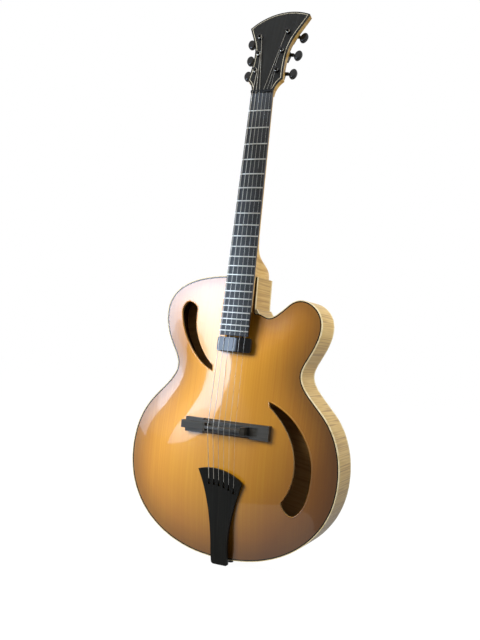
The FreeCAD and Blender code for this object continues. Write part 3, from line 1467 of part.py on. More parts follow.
# Every object sound before anything is written
for obj in doc.Objects:
    if "Invalid" in obj.State or "Error" in obj.State:
        raise RuntimeError(f"{obj.Label} failed: {obj.State}")
for piece in pieces:
    if piece.Shape.isNull() or not piece.Shape.isValid():
        raise RuntimeError(f"{piece.Label} has no sound shape")
    if not piece.Shape.Solids or min(solid.Volume for solid in piece.Shape.Solids) <= 0:
        raise RuntimeError(f"{piece.Label} has no solid")

os.makedirs("parts", exist_ok=True)
for piece in pieces:
    piece.Shape.exportStep(f"parts/{piece.Label}.step")
print(f"{len(pieces)} pieces written")
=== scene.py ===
import math

import bmesh
import bpy
from mathutils import Matrix, Vector


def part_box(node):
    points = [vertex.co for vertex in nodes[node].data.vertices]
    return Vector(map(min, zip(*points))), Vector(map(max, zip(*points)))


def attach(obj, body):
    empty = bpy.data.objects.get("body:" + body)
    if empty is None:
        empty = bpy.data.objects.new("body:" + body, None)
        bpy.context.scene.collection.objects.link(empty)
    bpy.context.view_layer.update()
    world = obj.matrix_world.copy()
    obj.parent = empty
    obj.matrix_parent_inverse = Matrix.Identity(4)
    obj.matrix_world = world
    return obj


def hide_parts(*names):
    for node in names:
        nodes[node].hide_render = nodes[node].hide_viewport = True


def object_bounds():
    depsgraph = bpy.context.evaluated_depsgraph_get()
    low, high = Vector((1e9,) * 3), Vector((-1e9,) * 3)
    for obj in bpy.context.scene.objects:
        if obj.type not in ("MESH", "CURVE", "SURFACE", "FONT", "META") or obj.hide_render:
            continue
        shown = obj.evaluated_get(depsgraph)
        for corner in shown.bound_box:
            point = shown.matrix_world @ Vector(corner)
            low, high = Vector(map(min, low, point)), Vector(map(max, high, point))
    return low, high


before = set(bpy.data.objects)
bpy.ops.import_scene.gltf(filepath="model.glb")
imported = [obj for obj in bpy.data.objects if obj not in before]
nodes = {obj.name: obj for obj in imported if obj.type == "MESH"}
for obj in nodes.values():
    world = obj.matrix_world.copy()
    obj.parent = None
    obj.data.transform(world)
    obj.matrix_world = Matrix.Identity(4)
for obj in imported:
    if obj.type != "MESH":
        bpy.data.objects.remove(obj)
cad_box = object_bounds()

MM = 0.001


# Materials

# Sockets of a mix node: the factor, the two colours and the mixed colour, and the two plain values
FACTOR, FIRST, SECOND, MIXED = 0, 6, 7, 2
FIRST_VALUE, SECOND_VALUE = 2, 3


def linear(hex_colour):
    """An sRGB hex colour as linear RGBA."""
    channels = [int(hex_colour[i:i + 2], 16) / 255 for i in (0, 2, 4)]
    return [c / 12.92 if c <= 0.04045 else ((c + 0.055) / 1.055) ** 2.4 for c in channels] + [1.0]


def per_mm(*sizes):
    """Mapping scales that make one unit of pattern the given size in millimetres along each axis."""
    return [1 / (size * MM) for size in sizes]


def add(tree, kind, inputs=None, stops=None, **settings):
    """Adds a shader node, sets its properties and colour stops, and links or sets its inputs."""
    made = tree.nodes.new(kind)
    for name, value in settings.items():
        setattr(made, name, value)
    for key, value in (inputs or {}).items():
        if isinstance(value, bpy.types.NodeSocket):
            tree.links.new(value, made.inputs[key])
        else:
            made.inputs[key].default_value = value
    if stops:
        elements = made.color_ramp.elements
        while len(elements) < len(stops):
            elements.new(1.0)
        for element, (position, colour) in zip(elements, stops):
            element.position = position
            element.color = linear(colour)
    return made


def material_of(name, surface, **choices):
    """A material whose surface function lays out its nodes and gives the shader's values."""
    material = bpy.data.materials.new(name)
    material.use_nodes = True
    tree = material.node_tree
    tree.nodes.clear()
    place = add(tree, "ShaderNodeTexCoord")
    shader = add(tree, "ShaderNodeBsdfPrincipled", surface(tree, place, **choices))
    add(tree, "ShaderNodeOutputMaterial", {"Surface": shader.outputs["BSDF"]})
    return material


def book_matched(tree, place, lean):
    """Coordinates that repeat on both sides of the centre joint, with the figure leaning away from it."""
    parts = add(tree, "ShaderNodeSeparateXYZ", {"Vector": place.outputs["Object"]})
    side = add(tree, "ShaderNodeMath", {0: parts.outputs["X"]}, operation="ABSOLUTE").outputs[0]
    rise = add(tree, "ShaderNodeMath", {0: side, 1: lean, 2: parts.outputs["Z"]}, operation="MULTIPLY_ADD")
    return add(tree, "ShaderNodeCombineXYZ",
               {"X": side, "Y": parts.outputs["Y"], "Z": rise.outputs[0]}).outputs["Vector"]


front_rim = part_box("top_binding")[0].y
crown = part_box("top_plate")[0].y
burst_start = crown + 2.0 * MM
SPRUCE_LEAN = 0.02
MAPLE_LEAN = 0.16
# Painted shade on the top deepens along this direction, towards the lower treble side, between two places on
# it
PAINTED_SHADE_WAY = (0.8, 0.0, -0.45)
PAINTED_SHADE_START = -0.2
PAINTED_SHADE_END = 0.06


def lacquered_spruce(tree, place, cut_edge):
    """Carved spruce under amber gloss lacquer: fine straight grain, mirrored at the centre joint, browner
    towards the rim where the arch falls, with painted shade on the lower treble side, and lighter where the
    sound holes' edges are cut."""
    halves = book_matched(tree, place, SPRUCE_LEAN)
    # Growth lines are about a millimetre apart; drawn three times as wide to show at this size
    lines = add(tree, "ShaderNodeMapping", {"Vector": halves, "Scale": per_mm(3.0, 400.0, 420.0)}).outputs[0]
    grain = add(tree, "ShaderNodeTexNoise", {"Vector": lines, "Scale": 1.0, "Detail": 4.0}).outputs["Fac"]
    broad = add(tree, "ShaderNodeMapping", {"Vector": halves, "Scale": per_mm(60.0, 300.0, 240.0)}).outputs[0]
    cloud = add(tree, "ShaderNodeTexNoise", {"Vector": broad, "Scale": 1.0, "Detail": 2.0}).outputs["Fac"]
    wood = add(tree, "ShaderNodeValToRGB", {"Fac": grain},
               [(0.25, "D49222"), (0.5, "DE9F2A"), (0.75, "E4A934")]).outputs["Color"]
    veil = add(tree, "ShaderNodeMapRange", {"Value": cloud, "From Min": 0.35, "From Max": 0.7,
                                            "To Max": 0.6}).outputs[0]
    wood = add(tree, "ShaderNodeMix", {FACTOR: veil, FIRST: wood, SECOND: linear("D08C22")},
               data_type="RGBA").outputs[MIXED]
    depth = add(tree, "ShaderNodeSeparateXYZ", {"Vector": place.outputs["Object"]}).outputs["Y"]
    fall = add(tree, "ShaderNodeMapRange", {"Value": depth, "From Min": burst_start,
                                            "From Max": front_rim}).outputs[0]
    burst = add(tree, "ShaderNodeValToRGB", {"Fac": fall},
                [(0.0, "FFFFFF"), (0.4, "F6F1E8"), (0.72, "E2D8C6"), (0.92, "C4BAA4"), (1.0, "A89E86")])
    shaded = add(tree, "ShaderNodeMix", {FACTOR: 1.0, FIRST: wood, SECOND: burst.outputs["Color"]},
                 data_type="RGBA", blend_type="MULTIPLY").outputs[MIXED]
    # Painted shade: the lower treble side is darkened where it turns away from the lights
    lower_treble = add(tree, "ShaderNodeVectorMath", {0: place.outputs["Object"], 1: PAINTED_SHADE_WAY},
                       operation="DOT_PRODUCT").outputs["Value"]
    painted_shade = add(tree, "ShaderNodeMapRange", {"Value": lower_treble, "From Min": PAINTED_SHADE_START,
                                             "From Max": PAINTED_SHADE_END}).outputs[0]
    shaded = add(tree, "ShaderNodeMix", {FACTOR: painted_shade, FIRST: shaded, SECOND: linear("948866")},
                 data_type="RGBA", blend_type="MULTIPLY").outputs[MIXED]
    # The normal's Y is -1 on the front, about 0 on a cut edge and 1 on the inside
    facing = add(tree, "ShaderNodeSeparateXYZ", {"Vector": place.outputs["Normal"]}).outputs["Y"]
    cut = add(tree, "ShaderNodeMapRange", {"Value": facing, "From Min": -0.6, "From Max": -0.45}).outputs[0]
    inner = add(tree, "ShaderNodeMapRange", {"Value": facing, "From Min": 0.4, "From Max": 0.6}).outputs[0]
    raw = add(tree, "ShaderNodeMix", {FACTOR: inner, FIRST: linear(cut_edge), SECOND: linear("8A6A3C")},
              data_type="RGBA").outputs[MIXED]
    colour = add(tree, "ShaderNodeMix", {FACTOR: cut, FIRST: shaded, SECOND: raw},
                 data_type="RGBA").outputs[MIXED]
    relief = add(tree, "ShaderNodeBump", {"Height": grain, "Strength": 0.3, "Distance": 0.01 * MM})
    return {"Base Color": colour, "Roughness": 0.3, "Specular IOR Level": 0.4, "Coat Weight": 1.0,
            "Coat Roughness": 0.04, "Coat IOR": 1.5, "Normal": relief.outputs[0]}


def flamed_maple(tree, place, sizes, light, dark, bright, sway=0.7, matched=False, inward=None):
    """Quarter-sawn maple under clear gloss lacquer: soft bright bars across the grain, and dull brown bare
    wood on the faces that look into the body."""
    base = book_matched(tree, place, MAPLE_LEAN) if matched else place.outputs["Object"]
    across = add(tree, "ShaderNodeMapping", {"Vector": base, "Scale": per_mm(*sizes)}).outputs[0]
    flame = add(tree, "ShaderNodeTexNoise", {"Vector": across, "Scale": 1.0, "Detail": 2.5,
                                             "Distortion": sway}).outputs["Fac"]
    bars = add(tree, "ShaderNodeValToRGB", {"Fac": flame},
               [(0.36, dark), (0.48, light), (0.57, bright), (0.68, light), (0.8, dark)]).outputs["Color"]
    broad = add(tree, "ShaderNodeMapping", {"Vector": base, "Scale": per_mm(110.0, 110.0, 150.0)}).outputs[0]
    cloud = add(tree, "ShaderNodeTexNoise", {"Vector": broad, "Scale": 1.0, "Detail": 2.0}).outputs["Fac"]
    amber = add(tree, "ShaderNodeMapRange", {"Value": cloud, "From Min": 0.4, "From Max": 0.7,
                                             "To Max": 0.4}).outputs[0]
    colour = add(tree, "ShaderNodeMix", {FACTOR: amber, FIRST: bars, SECOND: linear(dark)},
                 data_type="RGBA").outputs[MIXED]
    if inward:
        toward = add(tree, "ShaderNodeVectorMath", {0: place.outputs["Normal"], 1: inward},
                     operation="DOT_PRODUCT").outputs["Value"]
        inside = add(tree, "ShaderNodeMapRange", {"Value": toward, "From Min": 0.3,
                                                  "From Max": 0.5}).outputs[0]
        bare = add(tree, "ShaderNodeMix", {FACTOR: 0.75, FIRST: colour, SECOND: linear("D0A064")},
                   data_type="RGBA").outputs[MIXED]
        colour = add(tree, "ShaderNodeMix", {FACTOR: inside, FIRST: colour, SECOND: bare},
                     data_type="RGBA").outputs[MIXED]
    relief = add(tree, "ShaderNodeBump", {"Height": flame, "Strength": 0.3, "Distance": 0.02 * MM})
    return {"Base Color": colour, "Roughness": 0.4, "Specular IOR Level": 0.2, "Coat Weight": 0.12,
            "Coat Roughness": 0.06, "Coat IOR": 1.5, "Normal": relief.outputs[0]}


def bare_wood(tree, place, light, dark, sizes):
    """Wood without lacquer: dull, with open grain along its length."""
    base = place.outputs["Object"]
    along = add(tree, "ShaderNodeMapping", {"Vector": base, "Scale": per_mm(*sizes)}).outputs[0]
    grain = add(tree, "ShaderNodeTexNoise", {"Vector": along, "Scale": 1.0, "Detail": 4.0}).outputs["Fac"]
    colour = add(tree, "ShaderNodeValToRGB", {"Fac": grain}, [(0.3, dark), (0.7, light)]).outputs["Color"]
    relief = add(tree, "ShaderNodeBump", {"Height": grain, "Strength": 0.4, "Distance": 0.05 * MM})
    return {"Base Color": colour, "Roughness": 0.75, "Specular IOR Level": 0.2, "Normal": relief.outputs[0]}


def oiled_ebony(tree, place, sizes, shades, shine):
    """Ebony rubbed with oil: nearly black, with faint brown streaks along the grain and a low satin shine."""
    base = place.outputs["Object"]
    along = add(tree, "ShaderNodeMapping", {"Vector": base, "Scale": per_mm(*sizes)}).outputs[0]
    streak = add(tree, "ShaderNodeTexNoise", {"Vector": along, "Scale": 1.0, "Detail": 4.0}).outputs["Fac"]
    colour = add(tree, "ShaderNodeValToRGB", {"Fac": streak},
                 list(zip((0.3, 0.55, 0.8), shades))).outputs["Color"]
    rough = add(tree, "ShaderNodeMapRange", {"Value": streak, "To Min": 0.34, "To Max": 0.5}).outputs[0]
    relief = add(tree, "ShaderNodeBump", {"Height": streak, "Strength": 0.4, "Distance": 0.03 * MM})
    return {"Base Color": colour, "Roughness": rough, "Specular IOR Level": shine,
            "Normal": relief.outputs[0]}


def hard_black(tree, place, shade, light, roughness):
    """A hard black surface, moulded or plated: deep colour, clear highlights and faint handling haze."""
    base = place.outputs["Object"]
    spots = add(tree, "ShaderNodeMapping", {"Vector": base, "Scale": per_mm(6.0, 6.0, 6.0)}).outputs[0]
    haze = add(tree, "ShaderNodeTexNoise", {"Vector": spots, "Scale": 1.0, "Detail": 3.0}).outputs["Fac"]
    colour = add(tree, "ShaderNodeValToRGB", {"Fac": haze}, [(0.3, shade), (0.8, light)]).outputs["Color"]
    rough = add(tree, "ShaderNodeMapRange", {"Value": haze, "To Min": roughness * 0.7,
                                             "To Max": roughness * 1.4}).outputs[0]
    return {"Base Color": colour, "Roughness": rough, "Specular IOR Level": 0.4}


def drawn_metal(tree, place, shade, light, roughness, sizes):
    """Drawn or rolled metal: bright, with fine lines along its length."""
    base = place.outputs["Object"]
    along = add(tree, "ShaderNodeMapping", {"Vector": base, "Scale": per_mm(*sizes)}).outputs[0]
    line = add(tree, "ShaderNodeTexNoise", {"Vector": along, "Scale": 1.0, "Detail": 3.0}).outputs["Fac"]
    colour = add(tree, "ShaderNodeValToRGB", {"Fac": line}, [(0.3, shade), (0.7, light)]).outputs["Color"]
    rough = add(tree, "ShaderNodeMapRange", {"Value": line, "To Min": roughness * 0.7,
                                             "To Max": roughness * 1.3}).outputs[0]
    return {"Base Color": colour, "Metallic": 1.0, "Roughness": rough}


# Rib figure runs across the sides, so its bars are narrow along the outline and long from front to back
rib_maple = material_of("rib_maple", flamed_maple, sizes=(2.8, 160.0, 2.8), light="BE9B50", dark="9C7A3C",
                        bright="CDAD66", sway=0.3)
# The neck's bars are wider than the ribs' and cross its length
neck_maple = material_of("neck_maple", flamed_maple, sizes=(60.0, 60.0, 4.5), light="CFA65A", dark="B48B48",
                         bright="DCBA74", sway=0.4)
# The back is two mirrored halves, with bars that lean away from the joint
back_maple = material_of("back_maple", flamed_maple, sizes=(110.0, 200.0, 5.5), light="D2AA64", dark="AA7E3E",
                         bright="DFBE80", matched=True, inward=(0.0, -1.0, 0.0))
# Binding is the palest wood, a thin light line round both rims
binding_maple = material_of("binding_maple", flamed_maple, sizes=(14.0, 200.0, 14.0), light="DECDA0",
                            dark="CDB67E", bright="E6D8B0")
# Board, head and tailpiece are cut from one black wood with upright grain, and shine less in that order
EBONY_GRAIN = (2.5, 40.0, 90.0)
EBONY_SHADES = ("0E0E0D", "151513", "1F1D1A")
board_ebony, head_ebony, tail_ebony = [
    material_of(name, oiled_ebony, sizes=EBONY_GRAIN, shades=EBONY_SHADES, shine=shine)
    for name, shine in (("board_ebony", 0.42), ("head_ebony", 0.2), ("tail_ebony", 0.1))]
# The bridge is a greyer black, with its grain along its length
bridge_ebony = material_of("bridge_ebony", oiled_ebony, sizes=(70.0, 20.0, 2.5),
                           shades=("26241F", "322F29", "403C34"), shine=0.42)
# Black plating shows as deep black with small sharp lights
black_plate = material_of("black_plated_metal", hard_black, shade="08080A", light="121214", roughness=0.16)
# Mahogany inside the body is a dull red-brown
block_wood = material_of("bare_mahogany", bare_wood, light="6E4A28", dark="4E321A", sizes=(6.0, 6.0, 90.0))
# The buttons are moulded, with lights a little sharper than the plating's
button_black = material_of("moulded_black_buttons", hard_black, shade="070708", light="101012",
                           roughness=0.14)
# Worms are dark grey steel with a dull shine
worm_steel = material_of("blackened_steel", drawn_metal, shade="2C2C2E", light="454547", roughness=0.35,
                         sizes=(4.0, 4.0, 4.0))
# Plain strings are the brightest metal, thin light lines
string_steel = material_of("plain_string_steel", drawn_metal, shade="C4C2BC", light="E6E4DE", roughness=0.3,
                           sizes=(2.0, 2.0, 60.0))
# Wound strings are warmer and a little darker than the plain ones
wrap_nickel = material_of("string_wrap_nickel", drawn_metal, shade="B9B3A6", light="DAD5C9", roughness=0.35,
                          sizes=(2.0, 2.0, 30.0))
# Ball ends are yellow metal
ball_brass = material_of("ball_end_brass", drawn_metal, shade="A88645", light="C9A65E", roughness=0.3,
                         sizes=(3.0, 3.0, 3.0))

finishes = {
    "top_plate": material_of("lacquered_spruce", lacquered_spruce, cut_edge="E9CE9C"),
    # A thin dark line between the top and its binding
    "top_purfling": material_of("black_dyed_veneer", hard_black, shade="1A150E", light="261F15",
                                roughness=0.2),
    "top_binding": binding_maple,
    "back_binding": binding_maple,
    "back_plate": back_maple,
    "top_lining": block_wood,
    "back_lining": block_wood,
    "neck_block": block_wood,
    "tail_block": block_wood,
    # Paler than the mahogany round it
    "tone_bars": material_of("bare_spruce", bare_wood, light="B08F5C", dark="8F6F40",
                             sizes=(2.0, 40.0, 200.0)),
    "neck": neck_maple,
    # Mid grey, drawn along the neck
    "truss_rod": material_of("rod_steel", drawn_metal, shade="6C6C6E", light="8B8B8D", roughness=0.35,
                             sizes=(2.0, 2.0, 60.0)),
    # Nearly black, so that they hardly show
    "pickup_rods": material_of("blackened_rods", drawn_metal, shade="1E1E20", light="2C2C2E", roughness=0.35,
                               sizes=(2.0, 2.0, 60.0)),
    "fingerboard": board_ebony,
    "head_veneer": head_ebony,
    # As dark as the ebony, with hardly any shine
    "nut": material_of("black_fibre_nut", oiled_ebony, sizes=(40.0, 6.0, 6.0),
                       shades=("0C0C0B", "121211", "181716"), shine=0.1),
    # Bright lines across the black board
    "frets": material_of("nickel_silver_frets", drawn_metal, shade="C4C1B6", light="E4E2DA", roughness=0.3,
                         sizes=(60.0, 2.0, 2.0)),
    # A fine pale line on the black head
    "head_line": material_of("line_maple", bare_wood, light="DCD6C2", dark="C2BAA2", sizes=(8.0, 8.0, 40.0)),
    "bridge_base": bridge_ebony,
    "bridge_wedge": bridge_ebony,
    "bridge_saddle": bridge_ebony,
    "tailpiece": tail_ebony,
    "tail_bracket": black_plate,
    "end_pin_jack": black_plate,
    "tuner_bushings": black_plate,
    "tuner_housings": black_plate,
    "tuner_screws": black_plate,
    # The glossiest black of all, which mirrors the window
    "pickup_cover": material_of("gloss_black_plastic", hard_black, shade="050506", light="0A0A0B",
                                roughness=0.07),
    # Dull copper brown with fine lines
    "pickup_coil": material_of("wound_coil", bare_wood, light="5A3A22", dark="3C2617",
                               sizes=(1.0, 30.0, 1.0)),
    # A duller black than the other plastics
    "volume_wheel": material_of("knurled_black_plastic", hard_black, shade="0F0F0F", light="191919",
                                roughness=0.4),
    # Dull grey sheet metal
    "volume_pot": material_of("pot_steel", drawn_metal, shade="77776F", light="97968C", roughness=0.35,
                              sizes=(6.0, 6.0, 6.0)),
}
for rib in ("bass_lower_rib", "bass_upper_rib", "treble_lower_rib", "treble_upper_rib", "cutaway_rib"):
    finishes[rib] = rib_maple
for number in range(1, 7):
    finishes[f"tuner_post_{number}"] = black_plate
    finishes[f"tuner_worm_{number}"] = worm_steel
    finishes[f"tuner_button_{number}"] = button_black

for name, finish in finishes.items():
    mesh = nodes[name].data
    mesh.materials.clear()
    mesh.materials.append(finish)


# Strings: straight from ball end to post, bent over saddle and nut, and wound round the posts

# Sizes and places of the strings are in millimetres
HEAD_ORIGIN = Vector((0.0, -32.5095, 897.247))
HEAD_TILT = Matrix.Rotation(math.radians(-17.5), 3, "X")
POST_RADIUS = 3.05
TURN_GAP = 0.55
LOWEST_TURN = 2.75
TURN_STEPS = 32
SECTION_SIDES = 10
PLAIN_STEP = 20.0
WRAP_PITCH = 0.8
WRAP_DEPTH = 0.14
FIRST_WOUND = 3
# Diameter, turns, ball end, tailpiece slot, saddle, nut, and the post's place on the head
STRINGS = [
    (0.30, 3.25, (25.5, -62.84, 138.16), (25.5, -68.65, 142.16), (28.0, -88.67, 248.85),
     (18.5, -34.30, 899.90), (22.0, 49.0)),
    (0.41, 3.25, (15.3, -63.46, 142.98), (15.3, -69.38, 146.98), (16.8, -89.54, 248.92),
     (11.1, -34.71, 899.93), (24.0, 95.0)),
    (0.61, 3.25, (5.1, -63.96, 146.55), (5.1, -70.03, 150.55), (5.6, -90.05, 248.96),
     (3.7, -34.99, 899.95), (28.2, 139.5)),
    (0.81, 2.25, (-5.1, -64.31, 148.88), (-5.1, -70.51, 152.88), (-5.6, -90.15, 248.97),
     (-3.7, -35.09, 899.96), (-29.6, 131.5)),
    (1.07, 2.25, (-15.3, -64.48, 149.96), (-15.3, -70.83, 153.96), (-16.8, -89.87, 248.95),
     (-11.1, -35.04, 899.95), (-24.2, 89.5)),
    (1.32, 2.25, (-25.5, -64.45, 149.80), (-25.5, -70.92, 153.80), (-28.0, -89.18, 248.89),
     (-18.5, -34.80, 899.94), (-22.5, 50.0)),
]


def post_turns(diameter, turns, nut, post):
    """Points of a string's turns round its post, from where it first touches."""
    x, rise = post
    side = 1 if x < 0 else -1
    radius = POST_RADIUS + diameter / 2
    pitch = diameter + TURN_GAP
    seat = HEAD_TILT.transposed() @ (Vector(nut) - HEAD_ORIGIN)
    across, up = side * (seat.x - x), seat.z - rise
    tangent = math.sqrt(across * across + up * up - radius * radius)
    start = math.atan2(up, across) + math.atan2(tangent, radius)
    points = []
    for step in range(int(turns * TURN_STEPS) + 1):
        turned = 2 * math.pi * step / TURN_STEPS
        height = LOWEST_TURN + diameter / 2 + pitch * turned / (2 * math.pi)
        angle = start + turned
        spot = Vector((x + side * radius * math.cos(angle), -height, rise + radius * math.sin(angle)))
        points.append(HEAD_ORIGIN + HEAD_TILT @ spot)
    return points


def divided(points, step):
    """A line of points with others between them, no further apart than a step."""
    line = [points[0]]
    for first, second in zip(points, points[1:]):
        count = max(1, math.ceil((second - first).length / step))
        line += [first.lerp(second, index / count) for index in range(1, count + 1)]
    return line


def ring(middle, side, other, radius):
    """Vertices of a round section, in the plane of two directions."""
    angles = [2 * math.pi * corner / SECTION_SIDES for corner in range(SECTION_SIDES)]
    return [middle + (side * math.cos(angle) + other * math.sin(angle)) * radius for angle in angles]


def skin(rings, closed):
    """Faces from each round section to the next, and from the last to the first if closed."""
    faces = []
    for index in range(rings if closed else rings - 1):
        low, high = index * SECTION_SIDES, (index + 1) % rings * SECTION_SIDES
        for corner in range(SECTION_SIDES):
            after = (corner + 1) % SECTION_SIDES
            faces.append((low + corner, low + after, high + after, high + corner))
    return faces


def tube(points, radii):
    """Vertices and faces of a tube through points, closed at both ends, with a radius at each."""
    verts = []
    side = Vector((1.0, 0.0, 0.0))
    last = len(points) - 1
    for index, (point, radius) in enumerate(zip(points, radii)):
        way = (points[min(index + 1, last)] - points[max(index - 1, 0)]).normalized()
        side = (side - way * side.dot(way)).normalized()
        verts += ring(point, side, way.cross(side), radius)
    first_end = tuple(reversed(range(SECTION_SIDES)))
    last_end = tuple(last * SECTION_SIDES + corner for corner in range(SECTION_SIDES))
    return verts, skin(len(points), closed=False) + [first_end, last_end]


def put(name, data):
    """A new object in the scene."""
    made = bpy.data.objects.new(name, data)
    bpy.context.scene.collection.objects.link(made)
    return made


def mesh_piece(name, verts, faces, material, slot):
    """A smooth-shaded mesh object on the body, from vertices in millimetres."""
    mesh = bpy.data.meshes.new(name)
    mesh.from_pydata([vert * MM for vert in verts], [], faces)
    mesh.materials.append(material)
    mesh.polygons.foreach_set("use_smooth", [True] * len(faces))
    piece = put(name, mesh)
    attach(piece, "guitar")
    return piece


# A ball end's places along its axis and its widths there, both as shares of its radius
BALL_RADIUS = 2.0
BALL_PROFILE = [(-1.0, 0.62), (-0.94, 0.86), (-0.72, 0.98), (-0.42, 0.92), (0.0, 0.78),
                (0.42, 0.92), (0.72, 0.98), (0.94, 0.86), (1.0, 0.62)]

for number, (diameter, turns, ball, slot, saddle, nut, post) in enumerate(STRINGS, start=1):
    route = [Vector(spot) for spot in (ball, slot, saddle, nut)] + post_turns(diameter, turns, nut, post)
    if number < FIRST_WOUND:
        line = divided(route, PLAIN_STEP)
        radii = [diameter / 2] * len(line)
        steel = string_steel
    else:
        # The wrap wire is a fraction of a millimetre thick; its relief is drawn coarser to show
        line = divided(route, WRAP_PITCH / 2)
        radii = [diameter / 2 * (1 - WRAP_DEPTH * (index % 2)) for index in range(len(line))]
        steel = wrap_nickel
    piece = mesh_piece(f"string_{number}_wire", *tube(line, radii), steel, "string_steel")
    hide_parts(f"string_{number}")
    axis = Vector((BALL_RADIUS, 0.0, 0.0))
    spool = [Vector(ball) + axis * along for along, _ in BALL_PROFILE]
    widths = [BALL_RADIUS * width for _, width in BALL_PROFILE]
    # The spool lies along tube's first side direction, so its rings have no width and it doesn't show
    mesh_piece(f"string_{number}_ball", *tube(spool, widths), ball_brass, "string_steel")


# Sound hole lips: the edges are rounded over, and catch a line of light

# Radius of the lip in millimetres, and the share of it that is sunk into the wood
LIP_RADIUS = 1.5
LIP_SUNK = 0.75
# Limits on the normals' Y that tell the front from the walls of the holes
FRONT_FACE = -0.7
WALL_FACE = 0.4
# A loop of edges that comes nearer than this to the centre joint isn't a hole's
JOINT_CLEAR = 10.0 * MM
WELD_DISTANCE = 0.002 * MM


def hole_edges(plate):
    """Loops of the sound holes' front edges: each point with the direction that leads into the wood."""
    shape = bmesh.new()
    shape.from_mesh(plate)
    bmesh.ops.remove_doubles(shape, verts=shape.verts, dist=WELD_DISTANCE)
    shape.normal_update()
    inward = {}
    for edge in shape.edges:
        if len(edge.link_faces) == 2:
            front, wall = sorted(edge.link_faces, key=lambda face: face.normal.y)
            if front.normal.y < FRONT_FACE and abs(wall.normal.y) < WALL_FACE:
                inward[edge] = -(front.normal + wall.normal)
    loops = []
    while inward:
        edge = next(iter(inward))
        start = spot = edge.verts[0]
        loop = []
        while edge:
            loop.append((spot.co.copy(), inward.pop(edge)))
            spot = edge.other_vert(spot)
            edge = next((other for other in spot.link_edges if other in inward), None)
        if spot is start and all(abs(point.x) > JOINT_CLEAR for point, _ in loop):
            loops.append(loop)
    shape.free()
    return loops


def lip(loop):
    """Vertices and faces of a round lip along an edge, sunk into the wood so that it is just proud of it."""
    verts = []
    count = len(loop)
    for index, (point, inward) in enumerate(loop):
        way = (loop[(index + 1) % count][0] - loop[index - 1][0]).normalized()
        inward = (inward + loop[index - 1][1]) / 2
        middle = point / MM + inward * (LIP_RADIUS * LIP_SUNK)
        side = (inward - way * inward.dot(way)).normalized()
        verts += ring(middle, side, way.cross(side), LIP_RADIUS)
    return verts, skin(count, closed=True)


# The same lacquer as the top's, with a deeper amber where the edge turns in
lip_spruce = material_of("rounded_spruce_edge", lacquered_spruce, cut_edge="DCA552")
for loop in hole_edges(nodes["top_plate"].data):
    side_name = "bass" if loop[0][0].x < 0 else "treble"
    mesh_piece(f"{side_name}_hole_lip", *lip(loop), lip_spruce, "spruce")


# Camera at the photograph's place

VIEW_PLACE = Vector((0.61387, -1.40552, 0.40932))
VIEW_RIGHT = Vector((0.909350, 0.407668, 0.083003))
VIEW_UP = Vector((-0.063325, -0.061555, 0.996093))
VIEW_BACK = VIEW_RIGHT.cross(VIEW_UP)
SENSOR_WIDTH_MM = 36.0
LENS_MM = 44.08


def turned_to(spot, right, up, back):
    """The matrix of a thing at a spot, with its own axes along three directions."""
    return Matrix.Translation(spot) @ Matrix((right, up, back)).transposed().to_4x4()


camera_data = bpy.data.cameras.new("camera")
camera_data.sensor_width = SENSOR_WIDTH_MM
camera_data.lens = LENS_MM
camera = put("camera", camera_data)
camera.matrix_world = turned_to(VIEW_PLACE, VIEW_RIGHT, VIEW_UP, VIEW_BACK)
bpy.context.scene.camera = camera


# Soft studio light and white floor

LIT_SPOT = Vector((-0.05, -0.055, 0.33))


def facing_body(bearing, rise, distance, roll=0.0):
    """The place of a lamp or card that faces the body, by its bearing from the front and its rise."""
    turn, lift, lean = (math.radians(angle) for angle in (bearing, rise, roll))
    away = Vector((math.sin(turn) * math.cos(lift), -math.cos(turn) * math.cos(lift), math.sin(lift)))
    level = Vector((math.cos(turn), math.sin(turn), 0.0))
    upright = away.cross(level)
    across = level * math.cos(lean) - upright * math.sin(lean)
    upward = level * math.sin(lean) + upright * math.cos(lean)
    return turned_to(LIT_SPOT + away * distance, across, upward, away)


def softbox(name, bearing, rise, distance, width, height, power):
    """A rectangular soft lamp that lights without being mirrored."""
    data = bpy.data.lights.new(name, "AREA")
    data.shape = "RECTANGLE"
    data.size = width
    data.size_y = height
    data.energy = power
    lamp = put(name, data)
    lamp.matrix_world = facing_body(bearing, rise, distance)
    lamp.visible_camera = False
    lamp.visible_glossy = False


softbox("key_softbox", bearing=-27.0, rise=26.0, distance=2.6, width=1.4, height=1.4, power=93.0)
softbox("side_fill", bearing=106.0, rise=30.0, distance=0.71, width=0.3, height=0.4, power=2.6)
softbox("back_fill", bearing=200.0, rise=30.0, distance=2.4, width=1.4, height=1.6, power=36.0)


def reflected_card(name, corners, material, place):
    """A flat studio card that shows only as a reflection in gloss."""
    mesh = bpy.data.meshes.new(name)
    mesh.from_pydata(corners, [], [tuple(range(len(corners)))])
    mesh.materials.append(material)
    # The card lights nothing itself, so no light is sampled from it
    material.cycles.emission_sampling = "NONE"
    card = put(name, mesh)
    card.matrix_world = place
    card.visible_camera = False
    card.visible_diffuse = False
    card.visible_transmission = False
    card.visible_shadow = False


# The window shows on the upper bass side; its heights are from the middle of its card
WINDOW_RIGHT = 0.535
WINDOW_TOP = 0.875
SILL = -0.875
WALL_FOOT = -1.9
# The flag keeps the window, and the white room, off the treble side; its edges are a lean and a place at Z 0
FLAG_Y = -0.35
FLAG_RIGHT = 0.75
FLAG_TOP = 1.0
FLAG_FOOT = -0.3
FLAG_BEND = 0.45
FLAG_LOWER_EDGE = (0.255, -0.233)
FLAG_UPPER_EDGE = (-0.3, 0.017)
# The flag is solid above this height, and its left edge is blurred below and sharp above two others
FLAG_SOLID = 0.0
BLURRED_HEIGHT = 0.25
SHARP_HEIGHT = 0.42
WIDE_BLUR = 0.16
NARROW_BLUR = 0.012


